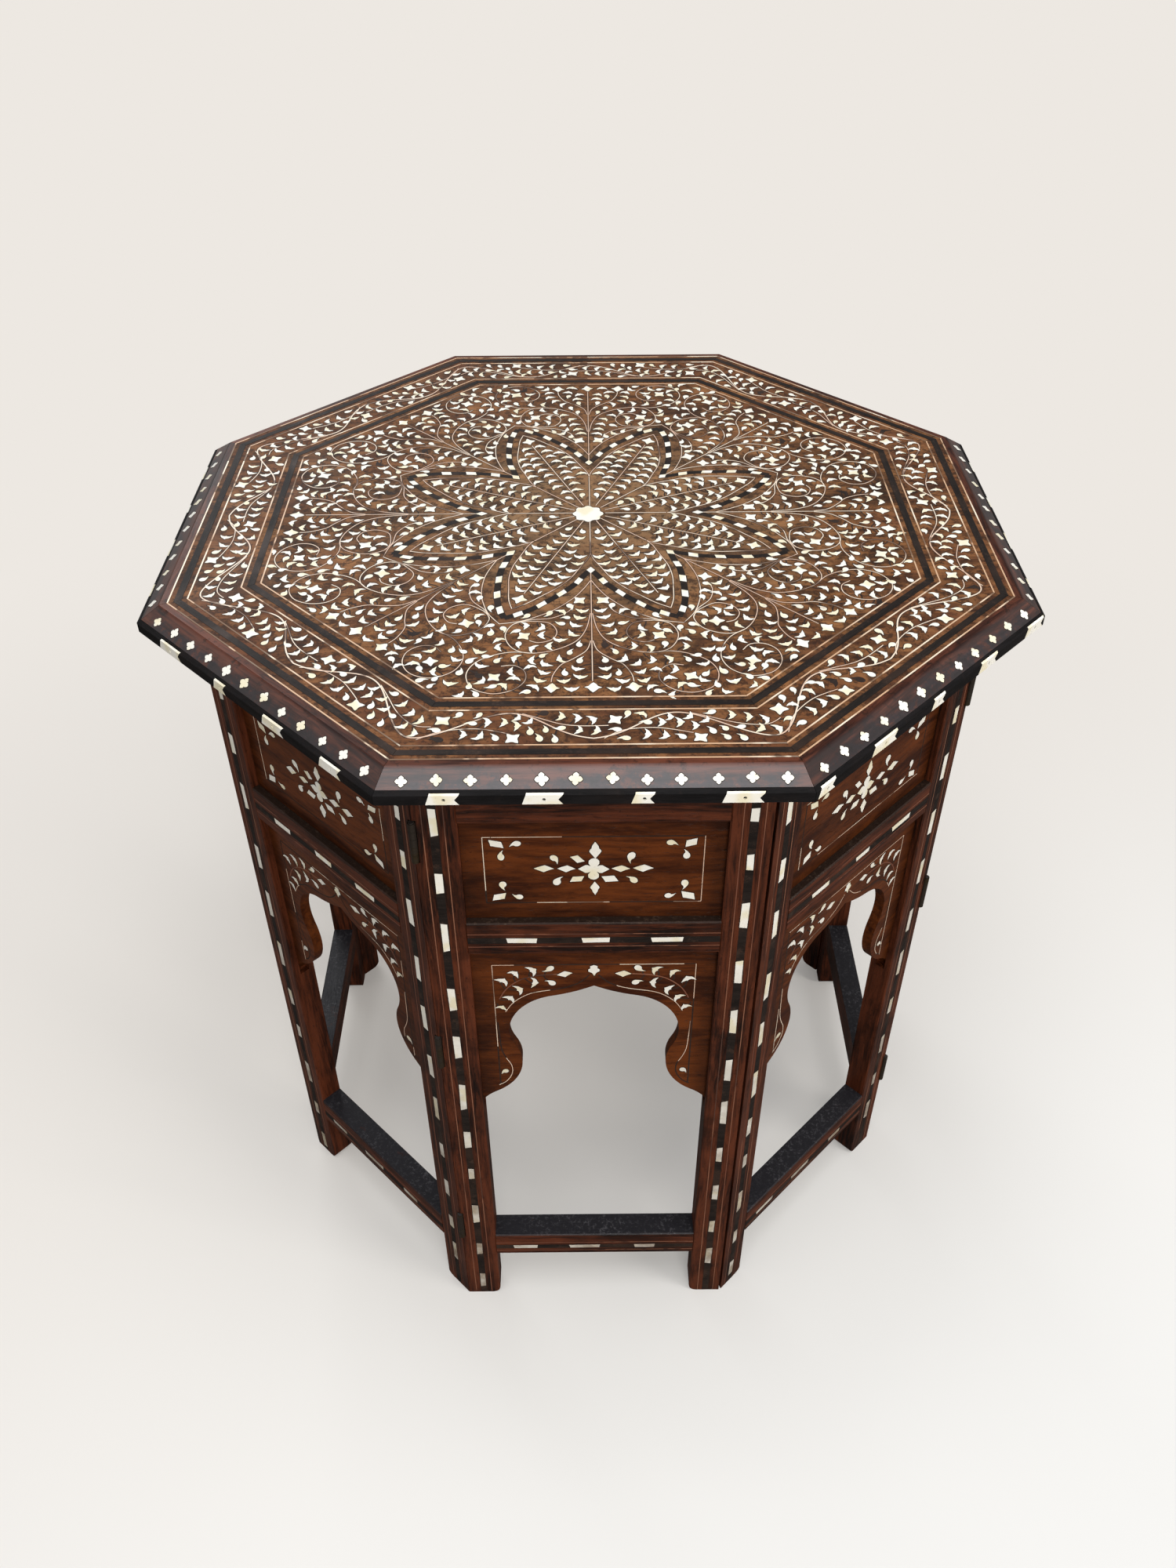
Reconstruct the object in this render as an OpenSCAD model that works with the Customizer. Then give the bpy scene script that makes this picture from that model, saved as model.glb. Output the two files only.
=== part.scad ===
// Octagonal folding side table.
// A loose octagonal top with a bevelled, banded edge lies on a ring of eight framed panels.
// Butt hinges join the panels, by turns at the outer and at the inner edge of the corners,
// so the ring folds flat once the top is lifted off.
// The origin is on the floor under the middle of the table, +Z is up and the front faces -Y.

/* [Table] */
// height from the floor to the highest point of the top
table_h = 517; // [470:1:620]
// top, across two opposite sides
top_flats = 500; // [480:1:600]
// ring of panels, across two opposite outer faces
ring_flats = 444; // [420:1:460]

/* [Top] */
// thickness of the top
top_t = 14; // [12:0.5:20]
// width of the moulding round the board
edge_w = 16.5; // [14:0.5:24]
// how far the bevel runs inwards
bevel_run = 12.8; // [8:0.2:13]
// how far the bevel drops
bevel_drop = 8.2; // [5:0.1:9]
// thickness of the ebony banding under the bevel
banding_t = 2.5; // [2:0.1:4]
// gap at each mitre of the edge and its inlays
mitre_gap = 0.2; // [0.1:0.05:0.6]

/* [Top inlay] */
// depth of the bone and ebony strips
inlay_d = 1.4; // [0.8:0.1:3]
// how far the strips stand over the worn wood
inlay_proud = 0.15; // [0.05:0.05:0.4]
// width of a bone line
line_w = 0.8; // [0.5:0.1:1.6]
// width of an ebony strip
strip_w = 4; // [2:0.1:6]
// width of a band, from line to line
band_w = 11; // [8:0.5:14]
// width of the frieze between the bands
frieze_w = 26.6; // [18:0.2:34]
// spacing of the bone plaques in the edge
plaque_pitch = 47; // [42:0.5:48]
// middling length of a plaque
plaque_l = 18; // [12:0.5:24]
// how much the lengths differ
plaque_vary = 5; // [0:0.5:8]
// thickness of a plaque
plaque_t = 1; // [0.6:0.1:1.6]
// slant of the left end of a plaque
plaque_slant = 3; // [1:0.5:5]
// depth of the swallow tail of a plaque
plaque_tail = 4; // [2:0.5:6]
// how far the lower tip of the tail stays back
plaque_tip_back = 1; // [0:0.5:2]
// radius of the dot drilled in a plaque
plaque_dot_r = 0.9; // [0.5:0.1:1.4]

/* [Panel frame] */
// thickness of stiles and rails
frame_t = 16; // [14:0.5:20]
// width of a stile on its outer face
stile_w = 23; // [21:0.5:32]
// height of the feet under the bottom rail
foot_h = 53; // [30:1:80]
// rounding of the inner corner of a foot
foot_r = 6; // [2:0.5:12]
// height of the bottom rail
bottom_rail_h = 24; // [18:0.5:32]
// height of the middle rail
mid_rail_h = 24.5; // [18:0.5:32]
// height of the top rail
top_rail_h = 38; // [24:0.5:44]
// height of the opening for the upper panel
upper_panel_h = 73; // [60:1:90]
// chamfer along the outer edges of the frame
edge_break = 0.8; // [0.2:0.1:1.5]
// length of the rail tenons
tenon_l = 10; // [6:0.5:11]
// thickness of the rail tenons
tenon_t = 6; // [4:0.5:7]
// shoulder over and under a tenon
tenon_shoulder = 5; // [4.5:0.5:6]

/* [Infill panels] */
// how far the panels lie behind the outer faces
recess = 5; // [3:0.5:6]
// thickness of the panels
panel_t = 7; // [5:0.5:7.5]
// depth of the grooves that hold them
groove_d = 4; // [2:0.5:4]
// play in grooves and mortises
joint_play = 0.1; // [0.05:0.05:0.3]

/* [Arch] */
// point of the arch, under the middle rail
apex_drop = 32.5; // [26:0.5:40]
// radius of the curve that sweeps up to the point
sweep_r = 92; // [70:1:120]
// centre of the upper lobe, from the middle of the panel
lobe_x = 18; // [12:0.5:22]
// centre of the upper lobe, under the middle rail
lobe_drop = 72.5; // [68:0.5:80]
// radius of the upper lobe
lobe_r = 32; // [28:0.5:34]
// centre of the side cusp, under the middle rail
cusp_drop = 101.5; // [96:0.5:108]
// radius of the side cusp
cusp_r = 34; // [30:0.5:38]
// radius of the flare under the cusp
flare_r = 30; // [24:0.5:40]
// where the flare leaves the cusp, in degrees from its lowest point
flare_turn = 31; // [24:1:36]

/* [Hinges] */
// height of a hinge
hinge_h = 27; // [20:1:34]
// middle of the lowest hinge, over the bottom rail
low_hinge_up = 14; // [13:1:30]
// middle of the highest hinge, under the top rail
high_hinge_down = 12; // [12:1:30]
// how far the third hinge lies above the middle of the other two
mid_hinge_lift = 10; // [0:1:20]
// width of a leaf, from the pin
leaf_w = 13; // [10:0.5:14]
// thickness of a leaf
leaf_t = 1.2; // [0.8:0.1:1.6]
// radius of the knuckles
knuckle_r = 2; // [1.8:0.1:2.6]
// knuckles on a hinge, an odd number
knuckles = 5; // [3:2:7]
// gap between knuckles
knuckle_gap = 0.15; // [0.1:0.05:0.4]
// clearance of the wood and the leaves round the knuckles
knuckle_clear = 0.4; // [0.3:0.05:0.6]
// radius of the pins
pin_r = 0.9; // [0.7:0.1:1]
// play of the pins in the knuckles
pin_play = 0.05; // [0.02:0.01:0.1]
// extra play in the corner at which the ring is parted
parted_play = 0.25; // [0.1:0.05:0.4]
// radius of the riveted pin ends
pin_head_r = 1.5; // [1.2:0.1:1.8]
// height of the riveted pin ends
pin_head_h = 0.6; // [0.3:0.1:1]
// gap of a closed corner with outer hinges
outer_hinge_gap = 0.4; // [0.2:0.1:1]
// gap of a closed corner with inner hinges
inner_hinge_gap = 1.8; // [0.4:0.1:2.4]
// length of the hinge screws
screw_l = 9; // [6:0.5:10]
// radius of the screw shanks
screw_r = 1.1; // [0.8:0.1:1.4]
// radius of the screw heads
screw_head_r = 2; // [1.6:0.1:2.4]
// distance of the screws from the pin
screw_out = 8; // [7:0.5:9.5]
// distance between the screws of a leaf
screw_pitch = 15; // [12:1:18]

/* [Hidden] */
$fn = 48;
sides = 8;
turn = 360 / sides;
half = turn / 2;
top_a = top_flats / 2;
ring_a = ring_flats / 2;
base_h = table_h - top_t;
// hair's breadth under the loose top
seat_gap = 0.05;
ring_top = base_h - seat_gap;
wood_top = table_h - inlay_proud;
board_a = top_a - edge_w;
banding_h = top_t - inlay_proud - bevel_drop;
glue = 0.05;
panel_w = 2 * ring_a * tan(half);
mitre_in = frame_t * tan(half);
open_w = panel_w - 2 * stile_w;
bottom_rail_top = foot_h + bottom_rail_h;
top_rail_z = base_h - top_rail_h;
top_rail_real_h = ring_top - top_rail_z;
mid_rail_top = top_rail_z - upper_panel_h;
mid_rail_z = mid_rail_top - mid_rail_h;
tongue_w = open_w + 2 * groove_d - 2 * joint_play;
low_hinge_z = bottom_rail_top + low_hinge_up;
high_hinge_z = top_rail_z - high_hinge_down;
mid_hinge_z = (low_hinge_z + high_hinge_z) / 2 + mid_hinge_lift;
hinge_zs = [low_hinge_z, mid_hinge_z, high_hinge_z];
knuckle_step = hinge_h / knuckles;
leaf_from = knuckle_r + knuckle_clear;
relief_r = knuckle_r + knuckle_clear;
parted_corner = 4;
through = 1;

// outer edges of the four bone lines, from the middle of the top
line_1 = board_a;
line_2 = board_a - band_w + line_w;
line_3 = board_a - band_w - frieze_w;
line_4 = line_3 - band_w + line_w;
lines = [line_1, line_2, line_3, line_4];
// outer edges of the two ebony strips
strip_1 = line_1 - (band_w - strip_w) / 2;
strip_2 = line_3 - (band_w - strip_w) / 2;
strips = [strip_1, strip_2];
plaque_counts = [4, 5, 4, 4, 4, 4, 4, 4];

// Places a piece of the front side on side k, counted anticlockwise from the front.
module on_side(k) {
    rotate([0, 0, k * turn])
        children();
}

// Places a panel, drawn with x along it and y from its outer face inwards, on side k.
// Odd panels are mirror images, so every corner joins two like ends.
module on_panel(k) {
    on_side(k)
        translate([0, -ring_a, 0])
            mirror([k % 2, 0, 0])
                children();
}

// Flat octagon of the given distance from the middle to each side.
module octagon(a) {
    rotate(half)
        circle(r = a / cos(half), $fn = sides);
}

// Part of the plane in front of the middle that belongs to the front side, less half a mitre gap.
module front_wedge(gap) {
    back_off = gap / 2 / sin(half);
    reach = top_flats;
    translate([0, -back_off])
        polygon([[0, 0], [reach * tan(half), -reach], [-reach * tan(half), -reach]]);
}

// Bar along the front side with mitred ends. Its section is in distance from the middle and height.
module side_bar(section) {
    intersection() {
        rotate([90, 0, 90])
            linear_extrude(top_flats, center = true)
                polygon([for (p = section) [-p[0], p[1]]]);
        linear_extrude(table_h + through)
            front_wedge(mitre_gap);
    }
}

// Section of a strip let into the top, from its outer edge.
function strip_section(a, w) = [
    [a, wood_top - inlay_d],
    [a, table_h],
    [a - w, table_h],
    [a - w, wood_top - inlay_d]
];

// Groove for a ring of strips.
module ring_groove(a, w) {
    translate([0, 0, wood_top - inlay_d - glue])
        linear_extrude(inlay_d + through)
            difference() {
                octagon(a + glue);
                octagon(a - w - glue);
            }
}

module top_board() {
    color("saddlebrown")
        difference() {
            translate([0, 0, base_h])
                linear_extrude(wood_top - base_h)
                    octagon(board_a);
            for (a = lines)
                ring_groove(a, line_w);
            for (a = strips)
                ring_groove(a, strip_w);
        }
}

// Eight mitred lengths with a bevel and a rebate for the banding.
module top_edge_moulding() {
    slope = bevel_drop / bevel_run;
    rebate_a = top_a - banding_t - glue;
    section = [
        [board_a + glue, base_h],
        [rebate_a, base_h],
        [rebate_a, base_h + banding_h + (top_a - rebate_a) * slope],
        [top_a - bevel_run, wood_top],
        [board_a + glue, wood_top]
    ];
    color("brown")
        for (k = [0 : sides - 1])
            on_side(k)
                side_bar(section);
}

// Section of the banding between its outer face and the given depth.
function banding_section(depth, spread) = [
    [top_a - depth, base_h - spread],
    [top_a + spread, base_h - spread],
    [top_a + spread, base_h + banding_h - spread * bevel_drop / bevel_run],
    [top_a - depth, base_h + banding_h + depth * bevel_drop / bevel_run]
];

function plaque_length(k, i) = plaque_l + plaque_vary * sin(137 * (k * 5 + i));

// Outline of a plaque: slanted at the left end, with a swallow tail at the right.
module plaque_outline(k, i, grow) {
    l = plaque_length(k, i) + 2 * grow;
    low = base_h - through;
    high = base_h + banding_h + banding_t;
    polygon([
        [-l / 2, low],
        [-l / 2 + plaque_slant, high],
        [l / 2, high],
        [l / 2 - plaque_tail, base_h + banding_h / 2],
        [l / 2 - plaque_tip_back, low]
    ]);
}

// Stands the outlines of one side's plaques on the front edge.
module plaque_prisms(k, grow) {
    n = plaque_counts[k];
    for (i = [0 : n - 1])
        translate([(i - (n - 1) / 2) * plaque_pitch, through - top_a + banding_t, 0])
            rotate([90, 0, 0])
                linear_extrude(banding_t + 2 * through)
                    plaque_outline(k, i, grow);
}

module plaque_blank(spread) {
    rotate([90, 0, 90])
        linear_extrude(top_flats, center = true)
            polygon([for (p = banding_section(plaque_t + spread, spread)) [-p[0], p[1]]]);
}

module top_edge_banding() {
    color([0.08, 0.07, 0.07])
        for (k = [0 : sides - 1])
            on_side(k)
                difference() {
                    side_bar(banding_section(banding_t, 0));
                    intersection() {
                        translate([0, -glue, 0])
                            plaque_blank(glue + 0.5);
                        plaque_prisms(k, glue);
                    }
                }
}

module top_edge_plaques() {
    color("ivory")
        for (k = [0 : sides - 1])
            on_side(k)
                difference() {
                    intersection() {
                        plaque_blank(0);
                        plaque_prisms(k, 0);
                    }
                    for (i = [0 : plaque_counts[k] - 1])
                        translate([(i - (plaque_counts[k] - 1) / 2) * plaque_pitch, -top_a + plaque_t + 1, base_h + banding_h / 2])
                            rotate([90, 0, 0])
                                cylinder(r = plaque_dot_r, h = plaque_t + 2);
                }
}

module top_ebony_strips() {
    color([0.08, 0.07, 0.07])
        for (k = [0 : sides - 1])
            on_side(k)
                for (a = strips)
                    side_bar(strip_section(a, strip_w));
}

module top_bone_lines() {
    color("ivory")
        for (k = [0 : sides - 1])
            on_side(k)
                for (a = lines)
                    side_bar(strip_section(a, line_w));
}

// Ends of a panel: -1 has its hinges at the outer edge, 1 at the inner edge.
ends = [-1, 1];

function corner_gap(end) = end < 0 ? outer_hinge_gap : inner_hinge_gap;

function pin_at(end) = end < 0 ? [-panel_w / 2, 0] : [panel_w / 2 - mitre_in, frame_t];

// Frame at the hinge pin of one end: x along the mitre, y into this panel's wood.
module at_hinge(end) {
    translate(pin_at(end))
        rotate([0, 0, -end * (90 - half)])
            mirror([0, 1, 0])
                children();
}

// Section of a stile, with its mitred edge set back by half of the corner's gap.
module stile_section(end) {
    back_off = corner_gap(end) / 2 / cos(half);
    outer = panel_w / 2 - back_off;
    inner = panel_w / 2 - stile_w;
    polygon([
        [end * outer, 0],
        [end * (outer - mitre_in), frame_t],
        [end * inner, frame_t],
        [end * inner, edge_break],
        [end * (inner + edge_break), 0]
    ]);
}

// Corner left over when the inner lower corner of a foot is rounded.
module foot_rounding(end) {
    inner = panel_w / 2 - stile_w;
    translate([0, frame_t + through, 0])
        rotate([90, 0, 0])
            linear_extrude(frame_t + 2 * through)
                difference() {
                    translate([end * (inner + foot_r / 2), foot_r / 2])
                        square([foot_r + 0.02, foot_r + 0.02], center = true);
                    translate([end * (inner + foot_r), foot_r])
                        circle(r = foot_r);
                }
}

// Room in a stile for the infill panel, from one height to another.
module panel_groove(from_z, to_z) {
    translate([-open_w / 2 - groove_d, recess - joint_play, from_z])
        cube([open_w + 2 * groove_d, panel_t + 2 * joint_play, to_z - from_z]);
}

// Tenon that runs through the opening into both stiles.
module tenon(rail_z, rail_h, play) {
    l = open_w + 2 * tenon_l + 2 * play;
    h = rail_h - 2 * tenon_shoulder + 2 * play;
    translate([-l / 2, (frame_t - tenon_t) / 2 - play, rail_z + tenon_shoulder - play])
        cube([l, tenon_t + 2 * play, h]);
}

// Room for the knuckles and one leaf of each hinge of an end.
module hinge_pockets(end) {
    gap = corner_gap(end);
    for (z = hinge_zs)
        translate([0, 0, z])
            at_hinge(end) {
                cylinder(r = relief_r, h = hinge_h + 4 * pin_head_h, center = true);
                translate([0, gap / 2 - through, -hinge_h / 2 - glue])
                    cube([leaf_w + glue, leaf_t + through + glue, hinge_h + 2 * glue]);
            }
}

// Holes for the screws of one end.
module screw_set(end, play) {
    gap = corner_gap(end);
    for (z = hinge_zs, s = [-0.5, 0.5])
        translate([0, 0, z + s * screw_pitch])
            at_hinge(end)
                translate([screw_out, gap / 2, 0])
                    rotate([-90, 0, 0]) {
                        cylinder(r1 = screw_head_r + play, r2 = screw_r + play, h = leaf_t);
                        cylinder(r = screw_r + play, h = screw_l + play);
                    }
}

module stiles(k) {
    color("sienna")
        on_panel(k)
            for (end = ends)
                difference() {
                    linear_extrude(ring_top)
                        stile_section(end);
                    foot_rounding(end);
                    panel_groove(mid_rail_top - groove_d, top_rail_z + groove_d);
                    panel_groove(arch_foot_z - 2, mid_rail_z + groove_d);
                    tenon(foot_h, bottom_rail_h, joint_play);
                    tenon(mid_rail_z, mid_rail_h, joint_play);
                    tenon(top_rail_z, top_rail_real_h, joint_play);
                    hinge_pockets(end);
                    screw_set(end, glue);
                }
}

// Rail with a chamfer on its outer edges and tenons at both ends.
module rail(rail_z, rail_h) {
    translate([0, 0, rail_z])
        rotate([90, 0, 90])
            linear_extrude(open_w, center = true)
                polygon([
                    [edge_break, 0],
                    [frame_t, 0],
                    [frame_t, rail_h],
                    [edge_break, rail_h],
                    [0, rail_h - edge_break],
                    [0, edge_break]
                ]);
    tenon(rail_z, rail_h, 0);
}

module rails(k) {
    color("chocolate")
        on_panel(k) {
            rail(foot_h, bottom_rail_h);
            difference() {
                rail(mid_rail_z, mid_rail_h);
                panel_groove(mid_rail_z - through, mid_rail_z + groove_d);
                panel_groove(mid_rail_top - groove_d, mid_rail_top + through);
            }
            difference() {
                rail(top_rail_z, top_rail_real_h);
                panel_groove(top_rail_z - through, top_rail_z + groove_d);
            }
        }
}

module upper_panel(k) {
    h = upper_panel_h + 2 * groove_d - 2 * joint_play;
    color("peru")
        on_panel(k)
            translate([-tongue_w / 2, recess, mid_rail_top - groove_d + joint_play])
                cube([tongue_w, panel_t, h]);
}

// The arch, drawn with x from the middle of the panel and y up from the middle rail.
// Its curves touch one another: a sweep up to the point, a lobe, a cusp and a flare.
function unit(v) = v / norm(v);

apex = [0, -apex_drop];
lobe_at = [lobe_x, -lobe_drop];
// centre of a circle of radius r1 about p1 and r2 about p2, on the outer, upper side
function crossing(p1, r1, p2, r2) =
    let (
        d = norm(p2 - p1),
        along = (r1 * r1 - r2 * r2 + d * d) / (2 * d),
        off = sqrt(r1 * r1 - along * along),
        u = unit(p2 - p1)
    )
    p1 + along * u + off * [-u[1], u[0]];

sweep_at = crossing(apex, sweep_r, lobe_at, sweep_r + lobe_r);
cusp_rise = lobe_drop - cusp_drop;
cusp_at = [lobe_x + sqrt(pow(lobe_r + cusp_r, 2) - pow(cusp_rise, 2)), -cusp_drop];
flare_way = [-sin(flare_turn), -cos(flare_turn)];
flare_at = cusp_at + (cusp_r + flare_r) * flare_way;
sweep_to_lobe = lobe_at + lobe_r * unit(sweep_at - lobe_at);
lobe_to_cusp = lobe_at + lobe_r * unit(cusp_at - lobe_at);
cusp_to_flare = cusp_at + cusp_r * flare_way;
tongue_x = tongue_w / 2;
flare_x = min(tongue_x, flare_at[0] + flare_r * 0.97);
flare_y = flare_at[1] + sqrt(pow(flare_r, 2) - pow(flare_x - flare_at[0], 2));
arch_foot_z = mid_rail_z + flare_y;

module half_arch() {
    low = flare_y - 2 * flare_r;
    difference() {
        union() {
            polygon([
                apex,
                sweep_to_lobe,
                lobe_to_cusp,
                cusp_to_flare,
                [flare_x, flare_y],
                [tongue_x + through, flare_y],
                [tongue_x + through, low],
                [0, low]
            ]);
            translate(lobe_at)
                circle(r = lobe_r, $fn = 96);
            translate(flare_at)
                circle(r = flare_r, $fn = 96);
        }
        translate(sweep_at)
            circle(r = sweep_r, $fn = 192);
        translate(cusp_at)
            circle(r = cusp_r, $fn = 96);
    }
}

module arch_opening() {
    half_arch();
    mirror([1, 0])
        half_arch();
}

module arch_panel(k) {
    h = groove_d - joint_play - flare_y;
    color("peru")
        on_panel(k)
            translate([0, recess + panel_t, mid_rail_z])
                rotate([90, 0, 0])
                    linear_extrude(panel_t)
                        difference() {
                            translate([-tongue_w / 2, flare_y])
                                square([tongue_w, h]);
                            arch_opening();
                        }
}

// Knuckles 0, 2, 4 belong to even panels and 1, 3 to odd ones.
module leaf(end, parity, bore_play) {
    gap = corner_gap(end);
    difference() {
        union() {
            translate([leaf_from, gap / 2, -hinge_h / 2])
                cube([leaf_w - leaf_from, leaf_t, hinge_h]);
            for (n = [parity : 2 : knuckles - 1]) {
                from_z = -hinge_h / 2 + n * knuckle_step + (n > 0 ? knuckle_gap / 2 : 0);
                to_z = -hinge_h / 2 + (n + 1) * knuckle_step - (n < knuckles - 1 ? knuckle_gap / 2 : 0);
                translate([0, 0, from_z]) {
                    cylinder(r = knuckle_r, h = to_z - from_z);
                    translate([0, gap / 2, 0])
                        cube([leaf_from + glue, leaf_t, to_z - from_z]);
                }
            }
        }
        cylinder(r = pin_r + bore_play, h = hinge_h + 2, center = true);
    }
}

// The corner at one end of panel k: corner k follows panel k, anticlockwise.
function corner_of(k, end) = (end > 0) == (k % 2 == 0) ? k : (k + sides - 1) % sides;

module hinge_leaves(k) {
    color("darkgoldenrod")
        on_panel(k)
            for (end = ends) {
                parted = corner_of(k, end) == parted_corner && k % 2 == 1;
                difference() {
                    for (z = hinge_zs)
                        translate([0, 0, z])
                            at_hinge(end)
                                leaf(end, k % 2, parted ? parted_play : pin_play);
                    screw_set(end, glue);
                }
            }
}

module hinge_screws(k) {
    color("gold")
        on_panel(k)
            for (end = ends)
                screw_set(end, 0);
}

module hinge_pins(k) {
    color("gray")
        on_panel(k)
            for (end = ends, z = hinge_zs)
                translate([pin_at(end)[0], pin_at(end)[1], z]) {
                    cylinder(r = pin_r, h = hinge_h, center = true);
                    for (s = [-1, 1])
                        translate([0, 0, s * (hinge_h + pin_head_h) / 2])
                            cylinder(r = pin_head_r, h = pin_head_h, center = true);
                }
}

stiles(0);  // front_stiles
rails(0);  // front_rails
upper_panel(0);  // front_upper_panel
arch_panel(0);  // front_arch_panel
hinge_leaves(0);  // front_hinge_leaves
hinge_screws(0);  // front_hinge_screws
hinge_pins(0);  // front_hinge_pins
stiles(1);  // front_right_stiles
rails(1);  // front_right_rails
upper_panel(1);  // front_right_upper_panel
arch_panel(1);  // front_right_arch_panel
hinge_leaves(1);  // front_right_hinge_leaves
hinge_screws(1);  // front_right_hinge_screws
stiles(2);  // right_stiles
rails(2);  // right_rails
upper_panel(2);  // right_upper_panel
arch_panel(2);  // right_arch_panel
hinge_leaves(2);  // right_hinge_leaves
hinge_screws(2);  // right_hinge_screws
hinge_pins(2);  // right_hinge_pins
stiles(3);  // back_right_stiles
rails(3);  // back_right_rails
upper_panel(3);  // back_right_upper_panel
arch_panel(3);  // back_right_arch_panel
hinge_leaves(3);  // back_right_hinge_leaves
hinge_screws(3);  // back_right_hinge_screws
stiles(4);  // back_stiles
rails(4);  // back_rails
upper_panel(4);  // back_upper_panel
arch_panel(4);  // back_arch_panel
hinge_leaves(4);  // back_hinge_leaves
hinge_screws(4);  // back_hinge_screws
hinge_pins(4);  // back_hinge_pins
stiles(5);  // back_left_stiles
rails(5);  // back_left_rails
upper_panel(5);  // back_left_upper_panel
arch_panel(5);  // back_left_arch_panel
hinge_leaves(5);  // back_left_hinge_leaves
hinge_screws(5);  // back_left_hinge_screws
stiles(6);  // left_stiles
rails(6);  // left_rails
upper_panel(6);  // left_upper_panel
arch_panel(6);  // left_arch_panel
hinge_leaves(6);  // left_hinge_leaves
hinge_screws(6);  // left_hinge_screws
hinge_pins(6);  // left_hinge_pins
stiles(7);  // front_left_stiles
rails(7);  // front_left_rails
upper_panel(7);  // front_left_upper_panel
arch_panel(7);  // front_left_arch_panel
hinge_leaves(7);  // front_left_hinge_leaves
hinge_screws(7);  // front_left_hinge_screws
top_board();
top_edge_moulding();
top_edge_banding();
top_edge_plaques();
top_ebony_strips();
top_bone_lines();
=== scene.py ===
"""Looks of an octagonal folding side table with bone and ebony inlay.

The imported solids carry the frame, the hinges, the top and its edge. This script gives them their
finishes and lays the leaf, vine, petal and band inlay into them, piece by piece, as a marquetry
cutter would: flat shapes of bone in a dark setting, let into the wood.
Lengths in the pattern are in millimetres, and the finished meshes are in metres.
"""

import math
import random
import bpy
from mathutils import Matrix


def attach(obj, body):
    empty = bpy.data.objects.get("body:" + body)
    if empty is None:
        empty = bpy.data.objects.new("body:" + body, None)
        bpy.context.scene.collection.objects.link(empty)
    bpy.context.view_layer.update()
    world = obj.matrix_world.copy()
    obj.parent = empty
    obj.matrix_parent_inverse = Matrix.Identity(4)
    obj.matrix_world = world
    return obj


bl_info = {
    "name": "Octagonal inlaid side table",
    "version": (1, 0, 0),
    "blender": (4, 5, 0),
    "location": "View3D > Sidebar > Side table",
    "description": "Finishes and inlay of an octagonal folding side table",
    "category": "Object",
}

import bpy
from bpy.props import FloatProperty, FloatVectorProperty, IntProperty, PointerProperty
from mathutils import Matrix, Vector

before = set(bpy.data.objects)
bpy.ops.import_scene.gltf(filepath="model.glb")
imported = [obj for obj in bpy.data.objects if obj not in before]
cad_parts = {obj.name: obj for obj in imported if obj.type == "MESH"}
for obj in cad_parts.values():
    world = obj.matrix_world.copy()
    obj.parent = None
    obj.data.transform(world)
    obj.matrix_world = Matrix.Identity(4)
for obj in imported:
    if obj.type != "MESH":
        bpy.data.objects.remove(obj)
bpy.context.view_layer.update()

MM = 0.001
SIDES = ["front", "front_right", "right", "back_right", "back", "back_left", "left", "front_left"]
TURN = math.radians(45)
HALF = TURN / 2

# The faces that carry inlay, in millimetres.
WOOD_TOP = 516.85
TOP_APOTHEM = 250.0
BEVEL_RUN = 12.8
BEVEL_DROP = 8.2
RING_APOTHEM = 222.0
RECESS = 5.0
STILE_FROM = 69.0
STILE_BAND = 81.0
MID_RAIL = (367.5, 392.0)
RING_TOP = 502.9
ROOT = 0.35

# How the pieces are laid. Lengths are in millimetres.
SMOOTH_STEPS = 6  # steps of a curve from one given point to the next
FILL_TRIES = 1400  # tries to fill the gaps of one box with small leaves
FILL_SIZE = 0.9  # size of those leaves
FLOWER_ROOM = 2.2  # room that they leave round a flower, beyond the usual
STEM_ROOM = 2.6  # nearest that they come to a stem
STEM_REACH = 14  # farthest that they grow from a stem
HAIR = 0.004  # step in height from line to line, so that no two that cross lie in one plane
THICKNESS_SPREAD = 0.03  # share by which the pieces differ in thickness
LOST_IN_FIELD = 0.012  # share of the pieces that have fallen out
LOST_IN_FRIEZE = 0.015
BEVEL_FLOWERS = 12  # flowers along one side of the bevel
BEVEL_PITCH = 16.5
BAND_SEED = 8
BAND_SLIP = 9  # farthest that the bars of a side are slipped along their bands

# Values that the points of a drawing carry into the inlay tree.
CARRIED = {"kind": "INT", "turn": "FLOAT", "size": "FLOAT_VECTOR", "loose": "FLOAT"}
# Start of the finishes' names, which keeps them apart from the materials of the record.
LOOK = "look_"

# The camera's place in metres, and its turn to the right, its dip and its roll in degrees.
CAMERA_PLACE = (-0.0046, -0.7085, 0.9098)
CAMERA_ANGLES = (0.212, 40.71, -0.323)
FLOOR_REACH = 30.0
# Where each lamp stands, what it points at, its size, its watts and its tint.
COOL = (0.95, 0.975, 1.0)
WARM = (1.0, 0.972, 0.935)
LAMPS = {
    "overhead": ((0.0, -0.55, 2.4), (0, -0.1, 0.4), 1.6, 31, COOL),
    "back_left": ((-1.2, 2.2, 1.9), (0, 0, 0.5), 1.4, 22, COOL),
    "front": ((0.35, -2.6, 1.0), (0, 0, 0.28), 1.1, 33.5, WARM),
    "right": ((2.2, -1.3, 1.4), (0, 0, 0.28), 1.0, 25, WARM),
}


# Settings.


def amount(name, description, default, low, high, **more):
    return FloatProperty(name=name, description=description, default=default, min=low, max=high, **more)


def metres(name, description, default, low, high):
    return amount(name, description, default, low, high, unit="LENGTH")


def colour(name, description, default):
    return FloatVectorProperty(
        name=name, description=description, default=default, size=3, min=0.0, max=1.0, subtype="COLOR"
    )


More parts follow.
